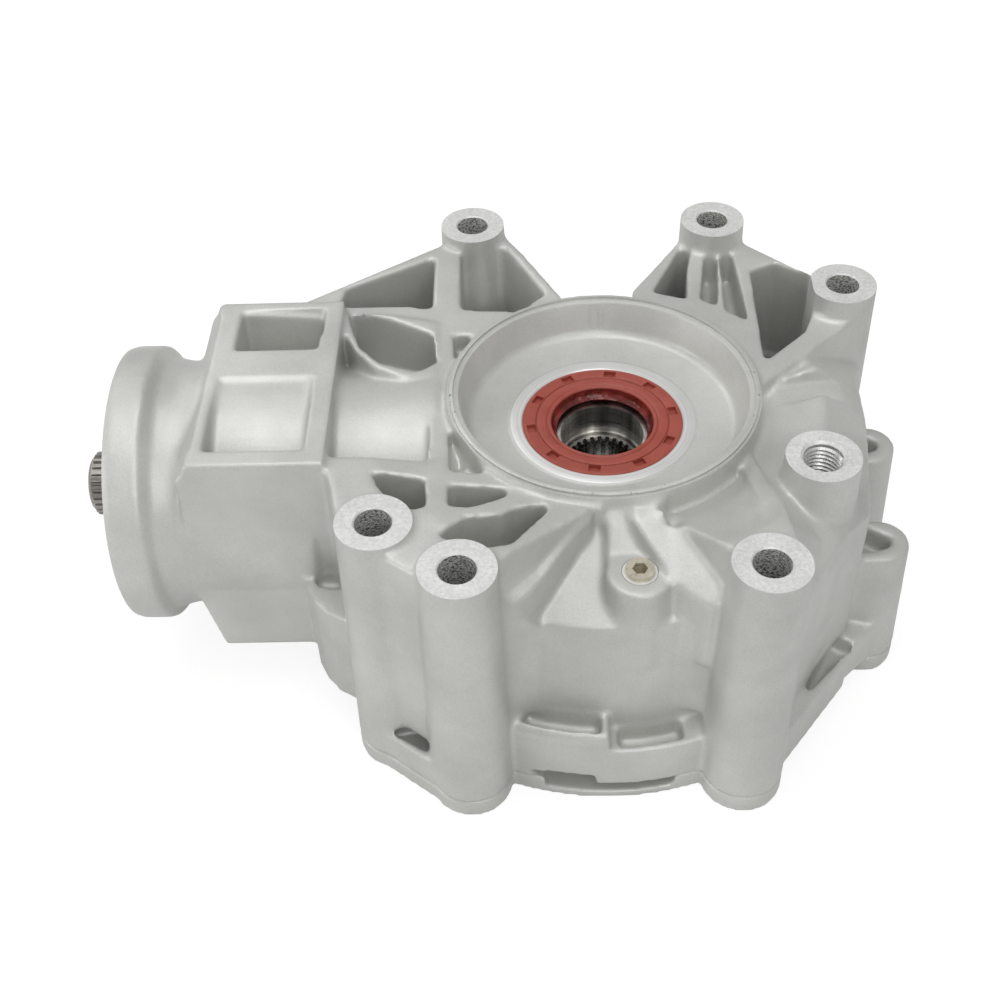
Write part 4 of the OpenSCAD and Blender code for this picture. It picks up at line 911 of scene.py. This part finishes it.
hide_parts("side_cover")


# Level plug and drain plug: zinc-plated screw plugs with a socket for a hexagon key, each
# on a soft washer in a spot face, the one in the housing and the other in the cover.
zinc = steel("zinc plate", (0.74, 0.68, 0.55), 0.34, (1, 1, 1), 380, 0.75, 0.6)
washer_metal = steel("soft washer", (0.86, 0.86, 0.85), 0.42, (1, 1, 1), 700, 0.85, 0.35)
coat(zinc, "level_plug", "drain_plug")
coat(washer_metal, "level_plug_washer", "drain_plug_washer")


# Cover screws: eight socket-head screws of blackened steel. Their heads are sunk in seats
# under the cover, and they pass into the casting.
screw_circle_r = 93
screw_first_angle = math.radians(22)
black_steel = steel("blackened steel", (0.055, 0.055, 0.06), 0.38, (1, 1, 1), 600, 0.6, 0.9)


def socket_screw(shank, head, head_h, length, key):
    """One screw with its head down at height 0 and a hexagon socket, by radii and lengths."""
    screw = add_object("screw", turned([
        (0, 0), (head - 0.6, 0), (head - 0.15, 0.15), (head, 0.6), (head, head_h - 0.2),
        (head - 0.2, head_h), (shank, head_h), (shank, head_h + length - 1.2),
        (shank - 1, head_h + length), (0, head_h + length)
    ], 40))
    key_body = bmesh.new()
    bmesh.ops.create_cone(
        key_body, cap_ends=True, segments=6, radius1=key * MM, radius2=key * MM,
        depth=2 * 0.6 * head_h * MM,
    )
    cut_by(screw, add_object("key", key_body))
    return screw


cover_screws = repeated(
    "cover_screw_set", socket_screw(3.35, 6.5, 4, 20, 3), 8, screw_circle_r, screw_first_angle,
    0.5, black_steel,
)
cover_screws.data.shade_smooth()
cover_screws.data.set_sharp_from_angle(angle=math.radians(35))
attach(cover_screws, "housing")
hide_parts("cover_bolts")


# Sealing ring of the cover and seal of the pinion: black rubber, the one in a groove round
# the cover's pilot and the other pressed into the nose of the casting.
black_rubber = rubber("black rubber", grey(0.022), grey(0.015), 0.5)
coat(black_rubber, "cover_o_ring", "pinion_seal")


# Dowel pins: ground steel, pressed into the casting. They place the cover on it.
dowel_steel = steel("ground dowel", (0.60, 0.60, 0.59), 0.2, (1, 1, 4), 800)
coat(dowel_steel, "dowel_pins")


# Bearings: through-hardened steel rings, ground bright on races and faces, with polished
# balls and rollers between them. The outer rings sit in the castings, the inner ones on
# the pinion and on the hubs of the differential case.
race_steel = steel("ground bearing steel", (0.62, 0.62, 0.61), 0.22, (1, 1, 6), 700, 0.8)
ball_steel = steel("polished bearing steel", (0.70, 0.70, 0.69), 0.12, (1, 1, 1), 300, 0.9)
coat(
    race_steel, "pinion_inner_cup", "pinion_outer_cup", "upper_bearing_outer",
    "lower_bearing_outer", "upper_bearing_inner", "lower_bearing_inner", "pinion_inner_cone",
    "pinion_outer_cone",
)
coat(
    ball_steel, "upper_bearing_balls", "lower_bearing_balls", "pinion_inner_rollers",
    "pinion_outer_rollers",
)


# Pinion shaft: forged and case-hardened steel, with ground seats for its two bearings and
# a spline on the end that stands out of the nose.
shaft_steel = steel("pinion steel", (0.46, 0.44, 0.41), 0.36, (0.5, 3, 3), 420, 0.55)
coat(shaft_steel, "pinion_shaft")


# Ring gear and its screws: the gear is cut from a forging and lapped with the pinion, and
# ten blackened screws hold it to the flange of the differential case.
gear_steel = steel("lapped gear steel", (0.36, 0.355, 0.34), 0.38, (1, 1, 1), 300, 0.7)
coat(gear_steel, "ring_gear")
coat(black_steel, "ring_gear_bolts")


# Side gears and spider gears: turned and broached steel. The bore of each side gear carries
# an axle's spline, and the spider gears turn on the cross pin between the two.
side_steel = steel("turned gear steel", (0.50, 0.49, 0.46), 0.26, (1, 1, 9), 300, 0.62)
coat(side_steel, "side_gear_upper", "side_gear_lower", "spider_gear_a", "spider_gear_b")


# Case of the differential: nodular iron, machined all over. Its hubs run in the two ball
# bearings, and the end of the upper hub is turned bright and shows inside the seal.
hub_end = 0.070
iron = steel("machined iron", (0.24, 0.245, 0.25), 0.42, (1, 1, 5), 420, 0.7)
tree = iron.node_tree
surface = tree.nodes["Principled BSDF"]
place = tree.nodes.new("ShaderNodeTexCoord")
height = tree.nodes.new("ShaderNodeSeparateXYZ")
end = tree.nodes.new("ShaderNodeMapRange")
end.inputs["From Min"].default_value = hub_end
end.inputs["From Max"].default_value = hub_end + 0.0005
tree.links.new(place.outputs["Object"], height.inputs[0])
tree.links.new(height.outputs["Z"], end.inputs["Value"])
# Colour of the bright hub end: the lathe's rings, times dark bands along the axle that are painted
# reflection.
turned_end_and_painted_bands = over(
    tree, "MULTIPLY", 1.0,
    between(tree, lathe_marks(tree, 900, 1.0), 0.3, 0.7, (0.72, 0.71, 0.67), (0.95, 0.94, 0.90)),
    between(tree, noise(tree, 130, 2, (1, 1, 0.05)), 0.38, 0.60, grey(0.36), grey(1.0)),
)
dark = surface.inputs["Base Color"].links[0].from_socket
tree.links.new(over(tree, "MIX", end.outputs[0], dark, turned_end_and_painted_bands), surface.inputs["Base Color"])
dull = surface.inputs["Roughness"].links[0].from_socket
shine = between(tree, lathe_marks(tree, 900, 1.0), 0.3, 0.7, grey(0.24), grey(0.36))
tree.links.new(over(tree, "MIX", end.outputs[0], dull, shine), surface.inputs["Roughness"])
coat(iron, "differential_case")


# Cross pin with its lock sleeve, and the pinion's spacer and lock nut: ground steel. The pin
# passes through the case, and the nut draws the pinion's bearings together over the spacer.
coat(dowel_steel, "cross_pin", "cross_pin_lock", "pinion_spacer", "pinion_lock_nut")


# Washers and shims: bronze washers lie behind the four bevel gears, and ground steel shims
# beside the bearings set their play.
bronze = steel("bearing bronze", (0.56, 0.38, 0.17), 0.3, (1, 1, 1), 420, 0.8)
coat(bronze, "spider_washer_a", "spider_washer_b", "thrust_washer_upper", "thrust_washer_lower")
coat(race_steel, "upper_shim", "lower_shim", "pinion_shim")
